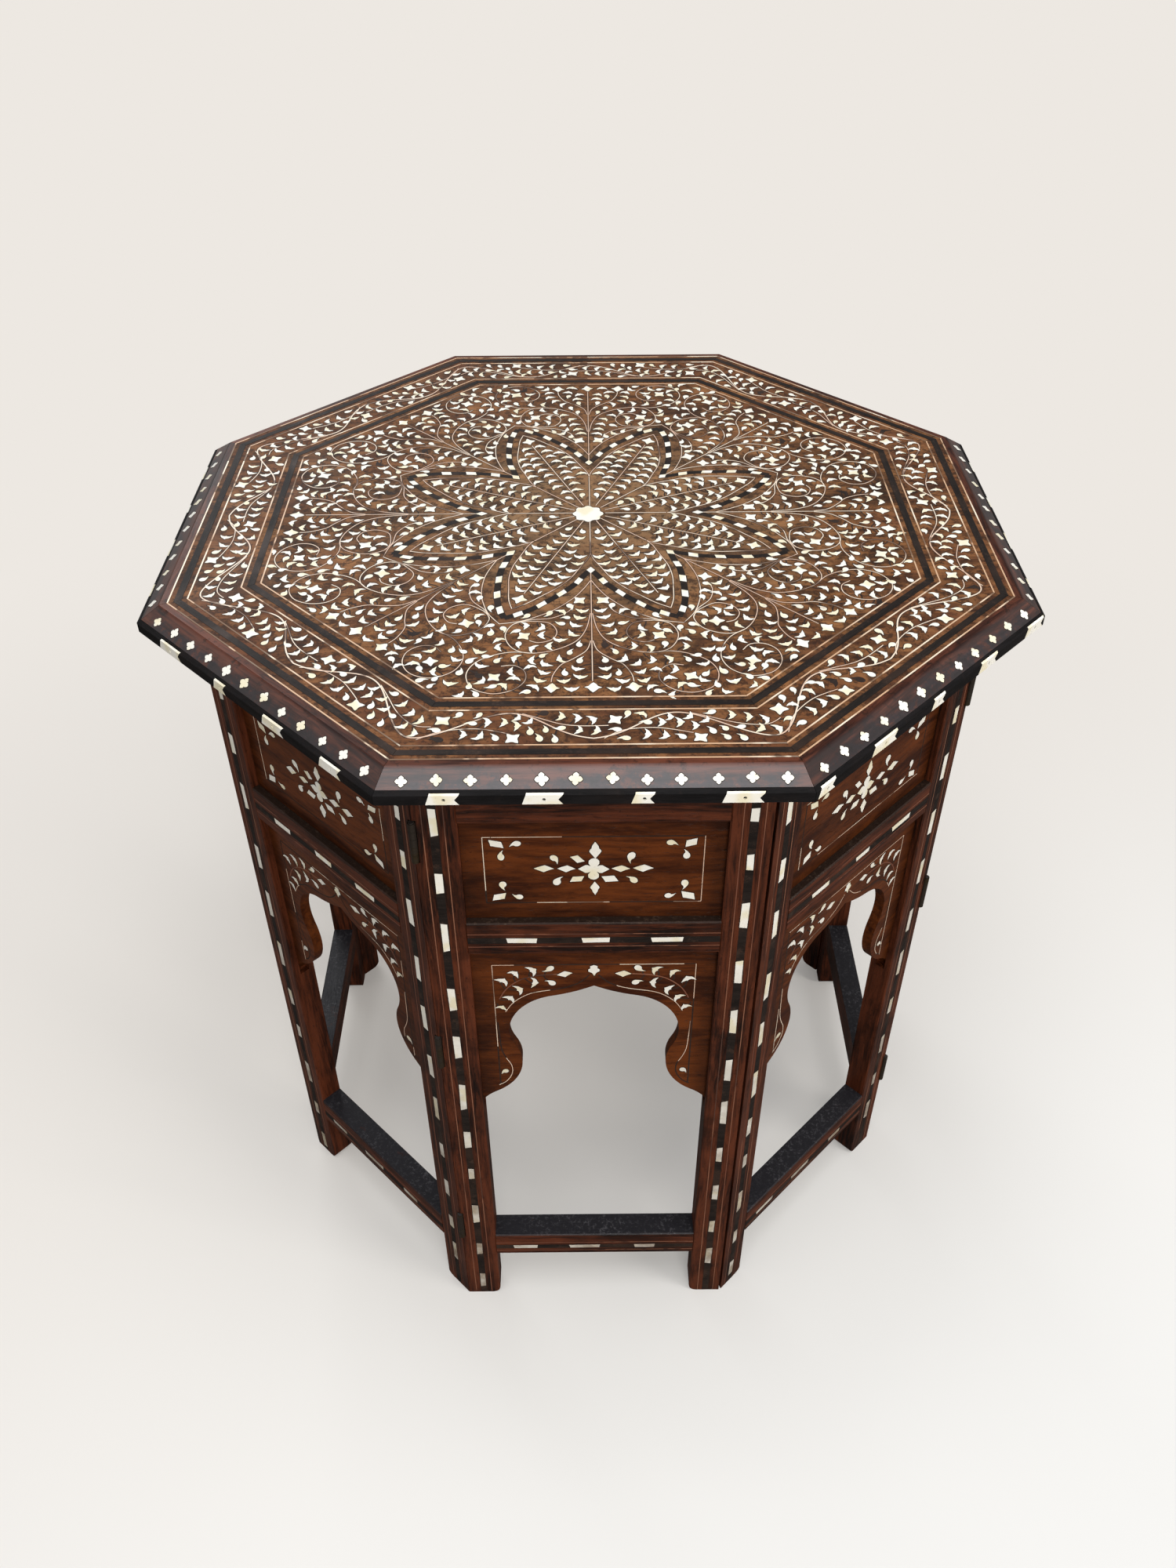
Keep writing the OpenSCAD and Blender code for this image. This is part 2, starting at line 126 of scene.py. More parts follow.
class TableInlay(bpy.types.PropertyGroup):
    """Sizes of the inlay."""

    seed: IntProperty(
        name="Seed", description="Start of the small differences between hand-cut pieces", default=7, min=0
    )
    leaf_size: amount("Leaf size", "Size of the leaves against the drawn pattern", 0.92, 0.6, 1.3)
    size_spread: amount("Size spread", "How far the sizes of hand-cut pieces differ", 0.09, 0.0, 0.3)
    turn_spread: amount(
        "Turn spread", "How far the pieces are turned by chance", 0.16, 0.0, 0.5, subtype="ANGLE"
    )
    setting: metres("Setting", "Width of the dark setting round a piece", 0.00042, 0.0, 0.001)
    stem_width: metres("Stem width", "Width of a fine stem", 0.0005, 0.0003, 0.0015)
    vine_width: metres("Vine width", "Width of the vine of the frieze", 0.0008, 0.0005, 0.002)
    band_width: metres("Band width", "Width of the ebony bands of the frame", 0.0046, 0.003, 0.006)
    petal_band: metres("Petal band width", "Width of the bands round the petals", 0.0038, 0.003, 0.006)


class TableColours(bpy.types.PropertyGroup):
    """Colours of the finishes."""

    top_dark: colour("Top, dark figure", "Darkest figure of the worn top", (0.026, 0.011, 0.005))
    top_light: colour("Top, light figure", "Lightest figure of the worn top", (0.203, 0.082, 0.029))
    rosewood_dark: colour("Rosewood, dark", "Darkest figure of the frame wood", (0.0052, 0.0018, 0.0011))
    rosewood_light: colour("Rosewood, light", "Lightest figure of the frame wood", (0.098, 0.0245, 0.0095))
    panel_dark: colour("Panel, dark figure", "Darkest figure of the panels", (0.030, 0.0070, 0.0023))
    panel_light: colour("Panel, light figure", "Lightest figure of the panels", (0.118, 0.0295, 0.0062))
    edge_wood: colour("Edge moulding", "Stained wood of the bevel", (0.013, 0.008, 0.009))
    ebony: colour("Ebony", "Black strips and bands", (0.0085, 0.0060, 0.0050))
    bone: colour("Bone", "Bone of the inlay", (0.855, 0.831, 0.757))
    stem: colour("Stem", "Fine stems and lines", (0.66, 0.45, 0.33))
    brass: colour("Brass", "Tarnished brass of the hinges", (0.24, 0.17, 0.08))


class TableStage(bpy.types.PropertyGroup):
    """Floor, light and camera."""

    floor_near: colour("Floor, near", "Colour of the floor near the viewer", (0.904, 0.900, 0.884))
    floor_far: colour("Floor, far", "Colour of the floor behind the table", (0.847, 0.807, 0.760))
    shadow: amount("Shadow", "Share of the floor's brightness that shadows take away", 0.8, 0.0, 1.0)
    lens: amount("Lens", "Focal length of the camera, in millimetres on a 36 mm frame", 30.05, 10.0, 200.0)
    sky: amount("Sky", "Strength of the even light from all round", 0.36, 0.0, 2.0)


# Shapes of the pieces.


def mirrored(half):
    """Closed outline from its right half, given from the lowest point to the highest."""
    return half + [(-x, y) for x, y in reversed(half) if x > 0.01]


def lobed(lobes, tip, waist, steps):
    """Outline with rounded lobes, the first one on +Y."""
    points = []
    for i in range(lobes * steps):
        swing = math.cos(2 * math.pi * i / steps)
        r = waist + (tip - waist) * (0.5 + 0.5 * swing) ** 0.6
        a = math.pi / 2 - 2 * math.pi * i / (lobes * steps)
        points.append((r * math.cos(a), r * math.sin(a)))
    return points[::-1]


def bud_outline(hand):
    """Egg-shaped head with a thin tail that curves to one hand."""
    round_part = [math.radians(a) for a in range(-30, 211, 30)]
    head = [(1.85 * math.cos(a), 2.35 * math.sin(a) + 0.9) for a in round_part]
    tail = [(-1.05, -1.1), (-0.05, -2.3), (1.7, -3.7), (0.95, -2.2), (0.95, -1.0)]
    points = head + tail
    return points if hand > 0 else [(-x, y) for x, y in reversed(points)]


def leaf_outline(lean):
    """Boat-shaped leaf: its belly points along +Y, its horns to the sides, and a nub marks its stalk."""
    low = [(0.0, -1.35), (0.75, -0.75), (2.2, -0.85), (4.2, -1.95)]
    high = [(3.35, -0.1), (2.35, 1.1), (1.15, 1.75), (0.0, 2.75)]
    long_side, short_side = 1 + 0.14 * lean, 1 - 0.14 * lean
    points = []
    for x, y in mirrored(low + high):
        reach = long_side if x > 0 else short_side
        rise = 0.09 * lean * x if abs(x) < 4 else -0.1 * lean * x
        points.append((x * reach + 0.16 * lean * (y + 1), y + rise))
    return points


def clover(tip, notch):
    """Four pointed lobes with a small notch between them."""
    side = [(0, 1.0), (13, 0.90), (27, 0.80), (37, 0.73)]
    quarter = [(a, share * tip) for a, share in side] + [(45, notch)]
    quarter += [(90 - a, share * tip) for a, share in side[:0:-1]]
    points = []
    for turn in range(0, 360, 90):
        spokes = [(math.radians(turn + a), r) for a, r in quarter]
        points += [(-r * math.sin(a), r * math.cos(a)) for a, r in spokes]
    return points


def star(corner, side):
    """Square with drawn-in sides and a small step in the middle of each."""
    slope = [(58, 0.80 * corner), (76, 1.06 * side)]
    quarter = [(45, corner), *slope, (90, side)] + [(180 - a, r) for a, r in slope[::-1]]
    points = []
    for turn in range(0, 360, 90):
        spokes = [(math.radians(turn + a), r) for a, r in quarter]
        points += [(r * math.cos(a), r * math.sin(a)) for a, r in spokes]
    return points


def four_petals():
    """Flower with two round petals up and down and two pointed ones to the sides."""
    quarter = [(1.6, 1.7), (3.0, 2.6), (4.4, 2.7), (6.1, 1.5), (8.2, 0.0)]
    round_one = [(0.0, 7.5), (1.6, 7.0), (2.75, 5.6), (2.8, 3.8)]
    half = [(x, -y) for x, y in round_one] + [(x, -y) for x, y in quarter] + quarter[-2::-1] + round_one[::-1]
    return mirrored(half)


BAR_L = 20.0
SHAPES = {
    "leaf": leaf_outline(0),
    "leaf_left": leaf_outline(-1),
    "leaf_right": leaf_outline(1),
    "bud_left": bud_outline(-1),
    "bud_right": bud_outline(1),
    "flower": clover(3.9, 2.0),
    "star": star(4.5, 2.5),
    "shield": mirrored([
        (0.0, -4.3), (1.3, -3.0), (2.3, -1.1), (4.3, 0.0), (2.5, 1.0), (1.5, 2.7), (0.0, 4.5),
    ]),
    "lozenge": mirrored([(0.0, -3.6), (2.3, 0.0), (0.0, 3.6)]),
    "slant_left": [(-2.5, -1.7), (3.6, -1.7), (2.5, 1.7), (-3.6, 1.7)],
    "slant_right": [(-3.6, -1.7), (2.5, -1.7), (3.6, 1.7), (-2.5, 1.7)],
    "bar": [(-BAR_L / 2 + 0.9, -1.95), (BAR_L / 2 - 0.6, -1.95), (BAR_L / 2, 1.95), (-BAR_L / 2, 1.95)],
    "rosette": lobed(8, 9.8, 7.9, 5),
    "four_petals": four_petals(),
    "lance": mirrored([
        (0.0, -5.2), (1.1, -3.4), (2.1, -1.9), (2.75, -0.6), (2.2, 0.6), (1.75, 1.0), (1.5, 2.6),
        (0.0, 5.2),
    ]),
    "slip_left": [(-4.6, -2.2), (2.6, -2.4), (4.7, 2.1), (-2.4, 2.3)],
    "slip_right": [(-2.6, -2.4), (4.6, -2.2), (2.4, 2.3), (-4.7, 2.1)],
    "rhomb": [
        (0.0, -2.75), (2.6, -1.0), (5.0, 0.15), (2.2, 1.7), (0.3, 2.6), (-2.6, 1.2), (-5.0, -0.15),
        (-2.3, -1.6),
    ],
    "trefoil": mirrored([
        (0.0, -4.6), (1.2, -2.0), (3.2, -0.6), (3.1, 1.0), (2.0, 1.7), (2.1, 3.6), (0.0, 4.6),
    ]),
}
SHAPE_NAMES = sorted(SHAPES)
OTHER_HAND = {}
for to_left in [label for label in SHAPES if label.endswith("_left")]:
    to_right = to_left.replace("_left", "_right")
    OTHER_HAND[to_left], OTHER_HAND[to_right] = to_right, to_left


def grown(outline, margin):
    """The outline moved outwards by a margin, without spikes at sharp corners."""
    points = []
    for i, (x, y) in enumerate(outline):
        ax, ay = outline[i - 1]
        bx, by = outline[(i + 1) % len(outline)]
        one_normal = Vector((y - ay, ax - x)).normalized()
        other_normal = Vector((by - y, x - bx)).normalized()
        middle = one_normal + other_normal
        step = middle.normalized() * (margin / max(0.55, middle.length / 2))
        points.append((x + step.x, y + step.y))
    return points


def prism(name, outline, low, high):
    """Closed flat piece between two heights, from an anticlockwise outline, all in millimetres."""
    n = len(outline)
    verts = [(x * MM, y * MM, z * MM) for z in (low, high) for x, y in outline]
    faces = [list(range(n - 1, -1, -1)), list(range(n, 2 * n))]
    faces += [[i, (i + 1) % n, n + (i + 1) % n, n + i] for i in range(n)]
    mesh = bpy.data.meshes.new(name)
    mesh.from_pydata(verts, [], faces)
    return mesh


def shape_collection(name, margin, high):
    """Collection with one template for each shape, in the order of SHAPE_NAMES."""
    templates = bpy.data.collections.new(name)
    for label in SHAPE_NAMES:
        outline = grown(SHAPES[label], margin) if margin else SHAPES[label]
        mesh = prism(f"{name}_{label}", outline, -ROOT, high)
        templates.objects.link(bpy.data.objects.new(f"{name}_{label}", mesh))


# Nodes.


class Wire:
    """Output of a node. What is reckoned with it becomes a node in its own tree."""

    def __init__(self, socket):
        self.socket = socket
        self.tree = socket.id_data

    def __add__(self, other):
        return maths("ADD", self, other)

    def __sub__(self, other):
        return maths("SUBTRACT", self, other)

    def __rsub__(self, other):
        return maths("SUBTRACT", other, self)

    def __mul__(self, other):
        return maths("MULTIPLY", self, other)

    def __truediv__(self, other):
        return maths("DIVIDE", self, other)


def plug(socket, value):
    """Links a wire to an input, or sets the input's own value."""
    if isinstance(value, Wire):
        value.tree.links.new(value.socket, socket)
    else:
        socket.default_value = value


def node(kind, *values, output=0, settings=None, **inputs):
    """Adds a node to the tree of its wires. Its inputs are filled in their order, or by name."""
    tree = next(value.tree for value in (*values, *inputs.values()) if isinstance(value, Wire))
    made = tree.nodes.new(kind)
    for key, value in (settings or {}).items():
        setattr(made, key, value)
    for i, value in enumerate(values):
        plug(made.inputs[i], value)
    for key, value in inputs.items():
        plug(made.inputs[key.replace("_", " ")], value)
    return Wire(made.outputs[output])


def new_tree(kind, name, inputs, outputs):
    """Empty node group with named sockets. Gives the wires of its inputs, and its outputs to plug."""
    tree = bpy.data.node_groups.new(name, kind)
    for label, sort, *default in inputs:
        socket = tree.interface.new_socket(label, in_out="INPUT", socket_type="NodeSocket" + sort)
        if default:
            socket.default_value = default[0]
    for label, sort in outputs:
        tree.interface.new_socket(label, in_out="OUTPUT", socket_type="NodeSocket" + sort)
    given = {socket.name: Wire(socket) for socket in tree.nodes.new("NodeGroupInput").outputs}
    return given, tree.nodes.new("NodeGroupOutput").inputs


def maths(operation, *values):
    return node("ShaderNodeMath", *values, settings={"operation": operation})


def vector_maths(operation, *values, output=0, **inputs):
    return node("ShaderNodeVectorMath", *values, output=output, settings={"operation": operation}, **inputs)


def parts(vector):
    """The x, y and z of a vector."""
    return [Wire(socket) for socket in node("ShaderNodeSeparateXYZ", vector).socket.node.outputs]


# Geometry nodes.


def carried(tree, name):
    """A value that each point carries."""
    made = tree.nodes.new("GeometryNodeInputNamedAttribute")
    made.data_type = CARRIED[name]
    made.inputs["Name"].default_value = name
    return Wire(made.outputs[0])


def end_with(out, pieces, material):
    """Makes the pieces real and gives them their material."""
    real = node("GeometryNodeRealizeInstances", pieces)
    plug(out["Geometry"], node("GeometryNodeSetMaterial", Geometry=real, Material=material))


def inlay_tree():
    """Sets one shape on each point, turned and sized by the point's own values and by chance."""
    given, out = new_tree(
        "GeometryNodeTree",
        "Set inlay pieces",
        [
            ("Geometry", "Geometry"), ("Shapes", "Collection"), ("Material", "Material"),
            ("Size spread", "Float"), ("Turn spread", "Float"), ("Seed", "Int"),
        ],
        [("Geometry", "Geometry")],
    )
    tree = given["Geometry"].tree
    shapes = node("GeometryNodeCollectionInfo", given["Shapes"], Separate_Children=True, Reset_Children=True)

    chance = node("FunctionNodeRandomValue", output=1, settings={"data_type": "FLOAT"}, Seed=given["Seed"])
    swing = (chance - 0.5) * given["Turn spread"] * carried(tree, "loose") * 2.0
    euler = node("ShaderNodeCombineXYZ", Z=swing + carried(tree, "turn"))

    small = 1.0 - given["Size spread"]
    large = given["Size spread"] + 1.0
    spread = node(
        "FunctionNodeRandomValue",
        settings={"data_type": "FLOAT_VECTOR"},
        Min=node("ShaderNodeCombineXYZ", small, small, 1 - THICKNESS_SPREAD),
        Max=node("ShaderNodeCombineXYZ", large, large, 1 + THICKNESS_SPREAD),
        Seed=given["Seed"],
    )
    placed = node(
        "GeometryNodeInstanceOnPoints",
        Points=given["Geometry"],
        Instance=shapes,
        Pick_Instance=True,
        Instance_Index=carried(tree, "kind"),
        Rotation=node("FunctionNodeEulerToRotation", euler),
        Scale=vector_maths("MULTIPLY", carried(tree, "size"), spread),
    )
    end_with(out, placed, given["Material"])


def strip_tree():
    """Lays a flat strip along each drawn line."""
    given, out = new_tree(
        "GeometryNodeTree",
        "Lay strips",
        [("Geometry", "Geometry"), ("Material", "Material"), ("Width", "Float"), ("Depth", "Float")],
        [("Geometry", "Geometry")],
    )
    paths = node("GeometryNodeMeshToCurve", given["Geometry"])
    level = node("GeometryNodeSetCurveNormal", settings={"mode": "Z_UP"}, Curve=paths)
    section = node("GeometryNodeCurvePrimitiveQuadrilateral", Width=given["Width"], Height=given["Depth"])
    strip = node("GeometryNodeCurveToMesh", Curve=level, Profile_Curve=section, Fill_Caps=True)
    end_with(out, strip, given["Material"])


def run_tree(mesh, name, values):
    """Plain mesh that a geometry tree makes from a mesh."""
    carrier = bpy.data.objects.new("carrier", mesh)
    bpy.context.scene.collection.objects.link(carrier)
    modifier = carrier.modifiers.new("work", "NODES")
    modifier.node_group = bpy.data.node_groups[name]
    for item in modifier.node_group.interface.items_tree:
        if item.in_out == "INPUT" and item.name in values:
            modifier[item.identifier] = values[item.name]
    depsgraph = bpy.context.evaluated_depsgraph_get()
    result = bpy.data.meshes.new_from_object(carrier.evaluated_get(depsgraph), depsgraph=depsgraph)
    carrier.modifiers.remove(modifier)
    bpy.data.objects.remove(carrier)
    for layer in [a.name for a in result.attributes if a.name in CARRIED]:
        result.attributes.remove(result.attributes[layer])
    return result


# Drawing in a flat plane.


def smooth(points):
    """Curve through the points, as a list of points."""
    if len(points) < 3:
        return [Vector(p) for p in points]
    ends = [Vector(p) for p in (points[0], *points, points[-1])]
    curve = []
    for a, b, c, d in zip(ends, ends[1:], ends[2:], ends[3:]):
        for i in range(SMOOTH_STEPS):
            t = i / SMOOTH_STEPS
            bend = (2 * a - 5 * b + 4 * c - d) * t * t
            twist = (3 * b - a - 3 * c + d) * t ** 3
            curve.append(0.5 * (2 * b + (c - a) * t + bend + twist))
    curve.append(ends[-1])
    return curve


def along(path, distance):
    """Point and direction at a distance from the start of a path."""
    for p, q in zip(path, path[1:]):
        step = (q - p).length
        if distance <= step:
            return p + (q - p) * (distance / max(step, 1e-6)), (q - p).normalized()
        distance -= step
    return path[-1], (path[-1] - path[-2]).normalized()


def path_length(path):
    return sum((q - p).length for p, q in zip(path, path[1:]))


def near(places, p, distance):
    """Whether one of the places is nearer to p than the distance."""
    return any((place - p).length < distance for place in places)


def eased(path, passes):
    """The path with its corners worn round. Its ends stay."""
    for _ in range(passes):
        middle = [(a + 2 * b + c) / 4 for a, b, c in zip(path, path[1:], path[2:])]
        path = [path[0]] + middle + [path[-1]]
    return path


def nearest(stems, p):
    """Nearest point of the stems to p, and the way the stem grows there."""
    best = None
    for stem in stems:
        for a, b in zip(stem, stem[1:]):
            span = b - a
            t = max(0.0, min(1.0, (p - a).dot(span) / max(span.length_squared, 1e-9)))
            q = a + span * t
            if best is None or (p - q).length < best[0]:
                best = ((p - q).length, q, span.normalized())
    return best


def turned(angle):
    return Matrix.Rotation(angle, 2)


class Drawing:
    """Inlay of one flat face: pieces of bone, their stalks, and strips along lines."""

    def __init__(self, seed):
        self.pieces = []
        self.lost = []
        self.lines = {}
        self.chance = random.Random(seed)
        self.scale = bpy.context.scene.table_inlay.leaf_size

    def put(self, shape, at, heading, size=(1.0, 1.0), loose=1.0):
        """One piece, with the shape's +Y along the heading."""
        self.pieces.append((shape, Vector(at), math.atan2(heading[1], heading[0]) - math.pi / 2, size, loose))

    def line(self, sort, path):
        """A strip along a path, of one of the sorts that strip_sorts() names."""
        self.lines.setdefault(sort, []).append([Vector(p) for p in path])

    def grow(self, shape, at, stems, size=1.0, reach=9.5):
        """A leaf or a bud that grows from the nearest stem, with an engraved stalk where that is in reach."""
        at = Vector(at)
        distance, root, way = nearest(stems, at)
        aside = (at - root).normalized() if distance > 0.2 else way
        hand = way.x * aside.y - way.y * aside.x
        if shape == "leaf":
            heading = (way + 0.25 * aside).normalized()
            shape = self.chance.choice(["leaf", "leaf_left", "leaf_right"])
        else:
            heading = (way + aside).normalized()
            shape = "bud_left" if hand > 0 else "bud_right"
        size *= self.scale
        self.put(shape, at, heading, (size, size))
        if 2.0 < distance < reach:
            back = 2.2 if shape.startswith("bud") else 1.0
            foot = root - way * min(4.0, 0.6 * distance)
            start = at - heading * back
            self.line("stalk", [start, (start + foot) / 2 + way * -0.3 + heading * -0.4, foot])

    def fill(self, box, stems, apart, taken):
        """Small leaves and buds in the gaps of a box, away from the stems and from the places taken."""
        x0, y0, x1, y1 = box
        flowers = [piece[1] for piece in self.pieces if piece[0] in ("star", "shield")]
        for _ in range(FILL_TRIES):
            at = Vector((self.chance.uniform(x0, x1), self.chance.uniform(y0, y1)))
            if taken(at) or near(flowers, at, apart + FLOWER_ROOM):
                continue
            if near([piece[1] for piece in self.pieces], at, apart):
                continue
            if STEM_ROOM < nearest(stems, at)[0] < STEM_REACH:
                self.grow(self.chance.choice(["leaf", "leaf", "bud"]), at, stems, FILL_SIZE, reach=7.0)

    def transformed(self, matrix, mirror=False):
        """Copies of the pieces and lines, turned by a 2 x 2 matrix, mirrored in x first if asked."""
        whole = matrix @ Matrix(((-1, 0), (0, 1))) if mirror else matrix
        pieces = []
        for shape, at, turn, size, loose in self.pieces:
            heading = whole @ Vector((-math.sin(turn), math.cos(turn)))
            shape = OTHER_HAND.get(shape, shape) if mirror else shape
            pieces.append((shape, whole @ at, math.atan2(heading.y, heading.x) - math.pi / 2, size, loose))
        lines = {}
        for sort, paths in self.lines.items():
            lines[sort] = [[whole @ p for p in path] for path in paths]
        return pieces, lines

    def add(self, other):
        """Takes in what another drawing's transformed() gave."""
        pieces, lines = other
        self.pieces += pieces
        for sort, paths in lines.items():
            self.lines.setdefault(sort, []).extend(paths)

    def lose(self, share):
        """Takes some of the pieces out for good. Their settings stay, as empty beds."""
        self.lost = [piece for piece in self.pieces if self.chance.random() < share]
        self.pieces = [piece for piece in self.pieces if piece not in self.lost]

    def shake(self, by):
        """Moves every piece a little, as a hand does."""
        moved = []
        for shape, at, turn, size, loose in self.pieces:
            drift = Vector((self.chance.uniform(-by, by), self.chance.uniform(-by, by))) * loose
            moved.append((shape, at + drift, turn, size, loose))
        self.pieces = moved


# From a drawing to meshes.


def point_mesh(pieces):
    """Mesh of points that carry what the inlay tree reads."""
    mesh = bpy.data.meshes.new("inlay_points")
    mesh.from_pydata([(at.x * MM, at.y * MM, 0) for _, at, _, _, _ in pieces], [], [])
    for label, kind in CARRIED.items():
        mesh.attributes.new(label, kind, "POINT")
    stretches = [number for _, _, _, stretch, _ in pieces for number in (*stretch, 1)]
    kinds = [SHAPE_NAMES.index(shape) for shape, *_ in pieces]
    mesh.attributes["kind"].data.foreach_set("value", kinds)
    mesh.attributes["turn"].data.foreach_set("value", [turn for _, _, turn, _, _ in pieces])
    mesh.attributes["size"].data.foreach_set("vector", stretches)
    mesh.attributes["loose"].data.foreach_set("value", [loose for *_, loose in pieces])
    return mesh


def path_mesh(paths, height):
    """Mesh of edges along the paths. Their heights differ by a hair, so that no two lie in one plane."""
    verts, edges = [], []
    for order, path in enumerate(paths):
        first = len(verts)
        level = height + HAIR * (order % 6)
        verts += [(p.x * MM, p.y * MM, level * MM) for p in path]
        edges += [(first + i, first + i + 1) for i in range(len(path) - 1)]
    mesh = bpy.data.meshes.new("inlay_paths")
    mesh.from_pydata(verts, edges, [])
    return mesh


def joined(name, meshes, material):
    """One mesh from several. They are used up."""
    verts, faces = [], []
    for mesh in meshes:
        first = len(verts)
        verts += [tuple(v.co) for v in mesh.vertices]
        faces += [[first + i for i in p.vertices] for p in mesh.polygons]
        bpy.data.meshes.remove(mesh)
    whole = bpy.data.meshes.new(name)
    whole.from_pydata(verts, [], faces)
    whole.materials.append(material)
    return whole


def finished(name, mesh, body):
    """Object of a finished mesh, riding on a body."""
    piece = bpy.data.objects.new(name, mesh)
    bpy.context.scene.collection.objects.link(piece)
    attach(piece, body)


def strip_sorts():
    """How far each sort of strip stands over the wood, in millimetres, its width and its material."""
    inlay = bpy.context.scene.table_inlay
    stem = inlay.stem_width / MM
    vine = inlay.vine_width / MM
    return {
        "groove": (0.02, 0.8, "setting"),
        "stalk": (0.03, 0.85, "setting"),
        "stem_edge": (0.045, stem + 0.7, "setting"),
        "vine_edge": (0.045, vine + 0.8, "setting"),
        "ebony": (0.055, inlay.band_width / MM, "ebony"),
        "petal_ebony": (0.055, inlay.petal_band / MM, "ebony"),
        "thread": (0.06, 0.5, "thread"),
        "stem": (0.10, stem, "stem"),
        "vine": (0.10, vine, "stem"),
        "twig": (0.06, 0.7, "thread"),
        "fine": (0.08, 0.42, "stem"),
    }


# How far the settings and the bone stand over the wood, in millimetres.
SETTING_H = 0.07
BONE_H = 0.13
# Slot of the record for each sort of finish.
SLOTS = {"bone": "bone", "setting": "ebony", "ebony": "ebony", "stem": "bone", "thread": "frame_rosewood"}


def lay(drawing, matrices, name, body, seed):
    """Makes a drawing's meshes, sets them on the faces given by the matrices, and finishes them."""
    inlay = bpy.context.scene.table_inlay
    looks = materials()
    for sort in ("stem", "vine"):
        if sort in drawing.lines:
            drawing.lines[sort + "_edge"] = list(drawing.lines[sort])
    made = {look: [] for look in SLOTS}
    if drawing.pieces:
        values = {"Size spread": inlay.size_spread, "Turn spread": inlay.turn_spread, "Seed": seed}
        for templates, look in (("Bone", "bone"), ("Setting", "setting")):
            values["Shapes"] = bpy.data.collections[templates]
            values["Material"] = looks[look]
            chosen = drawing.pieces + (drawing.lost if look == "setting" else [])
            made[look].append(run_tree(point_mesh(chosen), "Set inlay pieces", values))
    for sort, (height, width, look) in strip_sorts().items():
        if sort in drawing.lines:
            values = {"Material": looks[look], "Width": width * MM, "Depth": (height + ROOT) * MM}
            paths = path_mesh(drawing.lines[sort], (height - ROOT) / 2)
            made[look].append(run_tree(paths, "Lay strips", values))
    for look, meshes in made.items():
        copies = []
        for matrix in matrices:
            for mesh in meshes:
                copies.append(mesh.copy())
                copies[-1].transform(matrix)
        if copies:
            whole = joined(f"{name}_{look}", copies, looks[look])
            finished(f"{name}_{look}", whole, body)


def lay_on_top(drawing, name, seed):
    lay(drawing, [Matrix.Translation((0, 0, WOOD_TOP * MM))], name, "table_top", seed)


# The pattern of the top.

# One half of one eighth of the field, drawn with x to the side and y outwards.
FIELD_STEMS = [
    [(0, 68), (0, 172)],
    [
        (0.6, 110), (3, 125), (8.5, 136.5), (20, 144.5), (33, 147), (42, 142), (46, 130.5), (42, 120),
        (34, 117),
    ],
    [(42, 120), (34, 116), (22, 114.5), (13, 108.5), (9.5, 101.5)],
    [(34, 117), (23, 119), (18.6, 127), (21, 134.5), (28, 137.5), (33, 135.5)],
    [(0.6, 136), (3, 145), (10, 152.5), (16, 157.5), (20, 166), (21, 172.5)],
    [
        (30, 147.2), (42, 146), (53, 149.5), (61, 156), (64.5, 166), (61, 177), (51, 182), (41, 179.5),
        (34.6, 172), (34.6, 163.5), (40, 158), (47, 158.5),
    ],
]
FIELD_LEAVES = [
    (5.6, 107), (7, 113.5), (9, 121), (10.5, 129), (16, 135), (22, 140.5), (31, 143), (27, 124),
    (26.5, 131), (35.5, 122),
    (17, 107.5), (17, 152), (23.5, 157), (31, 153), (40, 152.3), (50, 135), (49, 142), (7, 161),
    (6.5, 168), (10.5, 178.5),
    (14.5, 171.5), (26, 164), (27, 171), (29.5, 177), (57, 158), (42, 162.5), (40, 169.5), (57, 172),
    (44.5, 176),
]
FIELD_BUDS = [
    (7, 139), (11.8, 146), (6.5, 153.5), (17, 119.5), (41, 127), (38.7, 139.5), (14, 164.5), (34, 181),
    (49.3, 153), (46.8, 124.8),
    (58, 166), (51, 176), (58.5, 182), (11, 103), (23, 110.5), (35, 112.5), (54.5, 150), (62.5, 175.5),
]
FIELD_FLOWERS = [("star", 6.3, 97), ("star", 36, 131.5), ("shield", 21, 177.3), ("star", 50, 168)]
FIELD_BOX = (3.4, 70, 76, 183.5)
MIDDLE_SHIELD = (0, 177.5)
# Space that small leaves fill once it is free, from the middle of one piece to the next, and the room
# that they leave beside the line between two eighths, the shield on its middle and the petals.
GAP_FIELD = 6.3
GAP_FRIEZE = 6.4
LINE_ROOM = 3.9
SHIELD_ROOM = 8.6
PETAL_ROOM = 3.0
# Pieces on the lines between the eighths, by their distance from the middle.
CORNER_LINE = [("bud", 138.5), ("leaf", 156.5), ("bud", 165.5), ("bud", 176.5), ("leaf", 187.0)]

# One half of a petal, drawn with x to the side and y towards its point.
PETAL_BAND = [
    (24.9, 60), (23.6, 68), (22.8, 76), (20.2, 86), (15.8, 98), (10.8, 109), (5.2, 117.5), (0, 123.3),
]
PETAL_RAY = [(3.6, 8.6), (17.7, 42.8)]
PETAL_INNER = [
    (18.0, 43.4), (18.9, 50), (18.4, 60), (17.7, 73), (14.7, 85), (9.9, 96), (5.2, 106), (0, 113.5),
]
PETAL_OUTER = [(29.1, 70.2), (28.8, 80), (27.1, 91.6), (22.1, 105.6), (15.5, 116), (9.0, 123.3), (0, 129.5)]
PETAL_LEAVES = [
    (4.6, 30), (5.6, 38.5), (6.0, 46.5), (6.4, 54.5), (6.6, 62.5), (6.6, 70.5), (6.3, 78.5), (5.9, 86.5),
    (14.4, 49), (15.0, 57), (14.6, 65), (14.0, 73), (12.4, 81), (4.9, 94),
]
PETAL_BUDS = [(4.1, 22)]
PETAL_RIB = (10, 97)
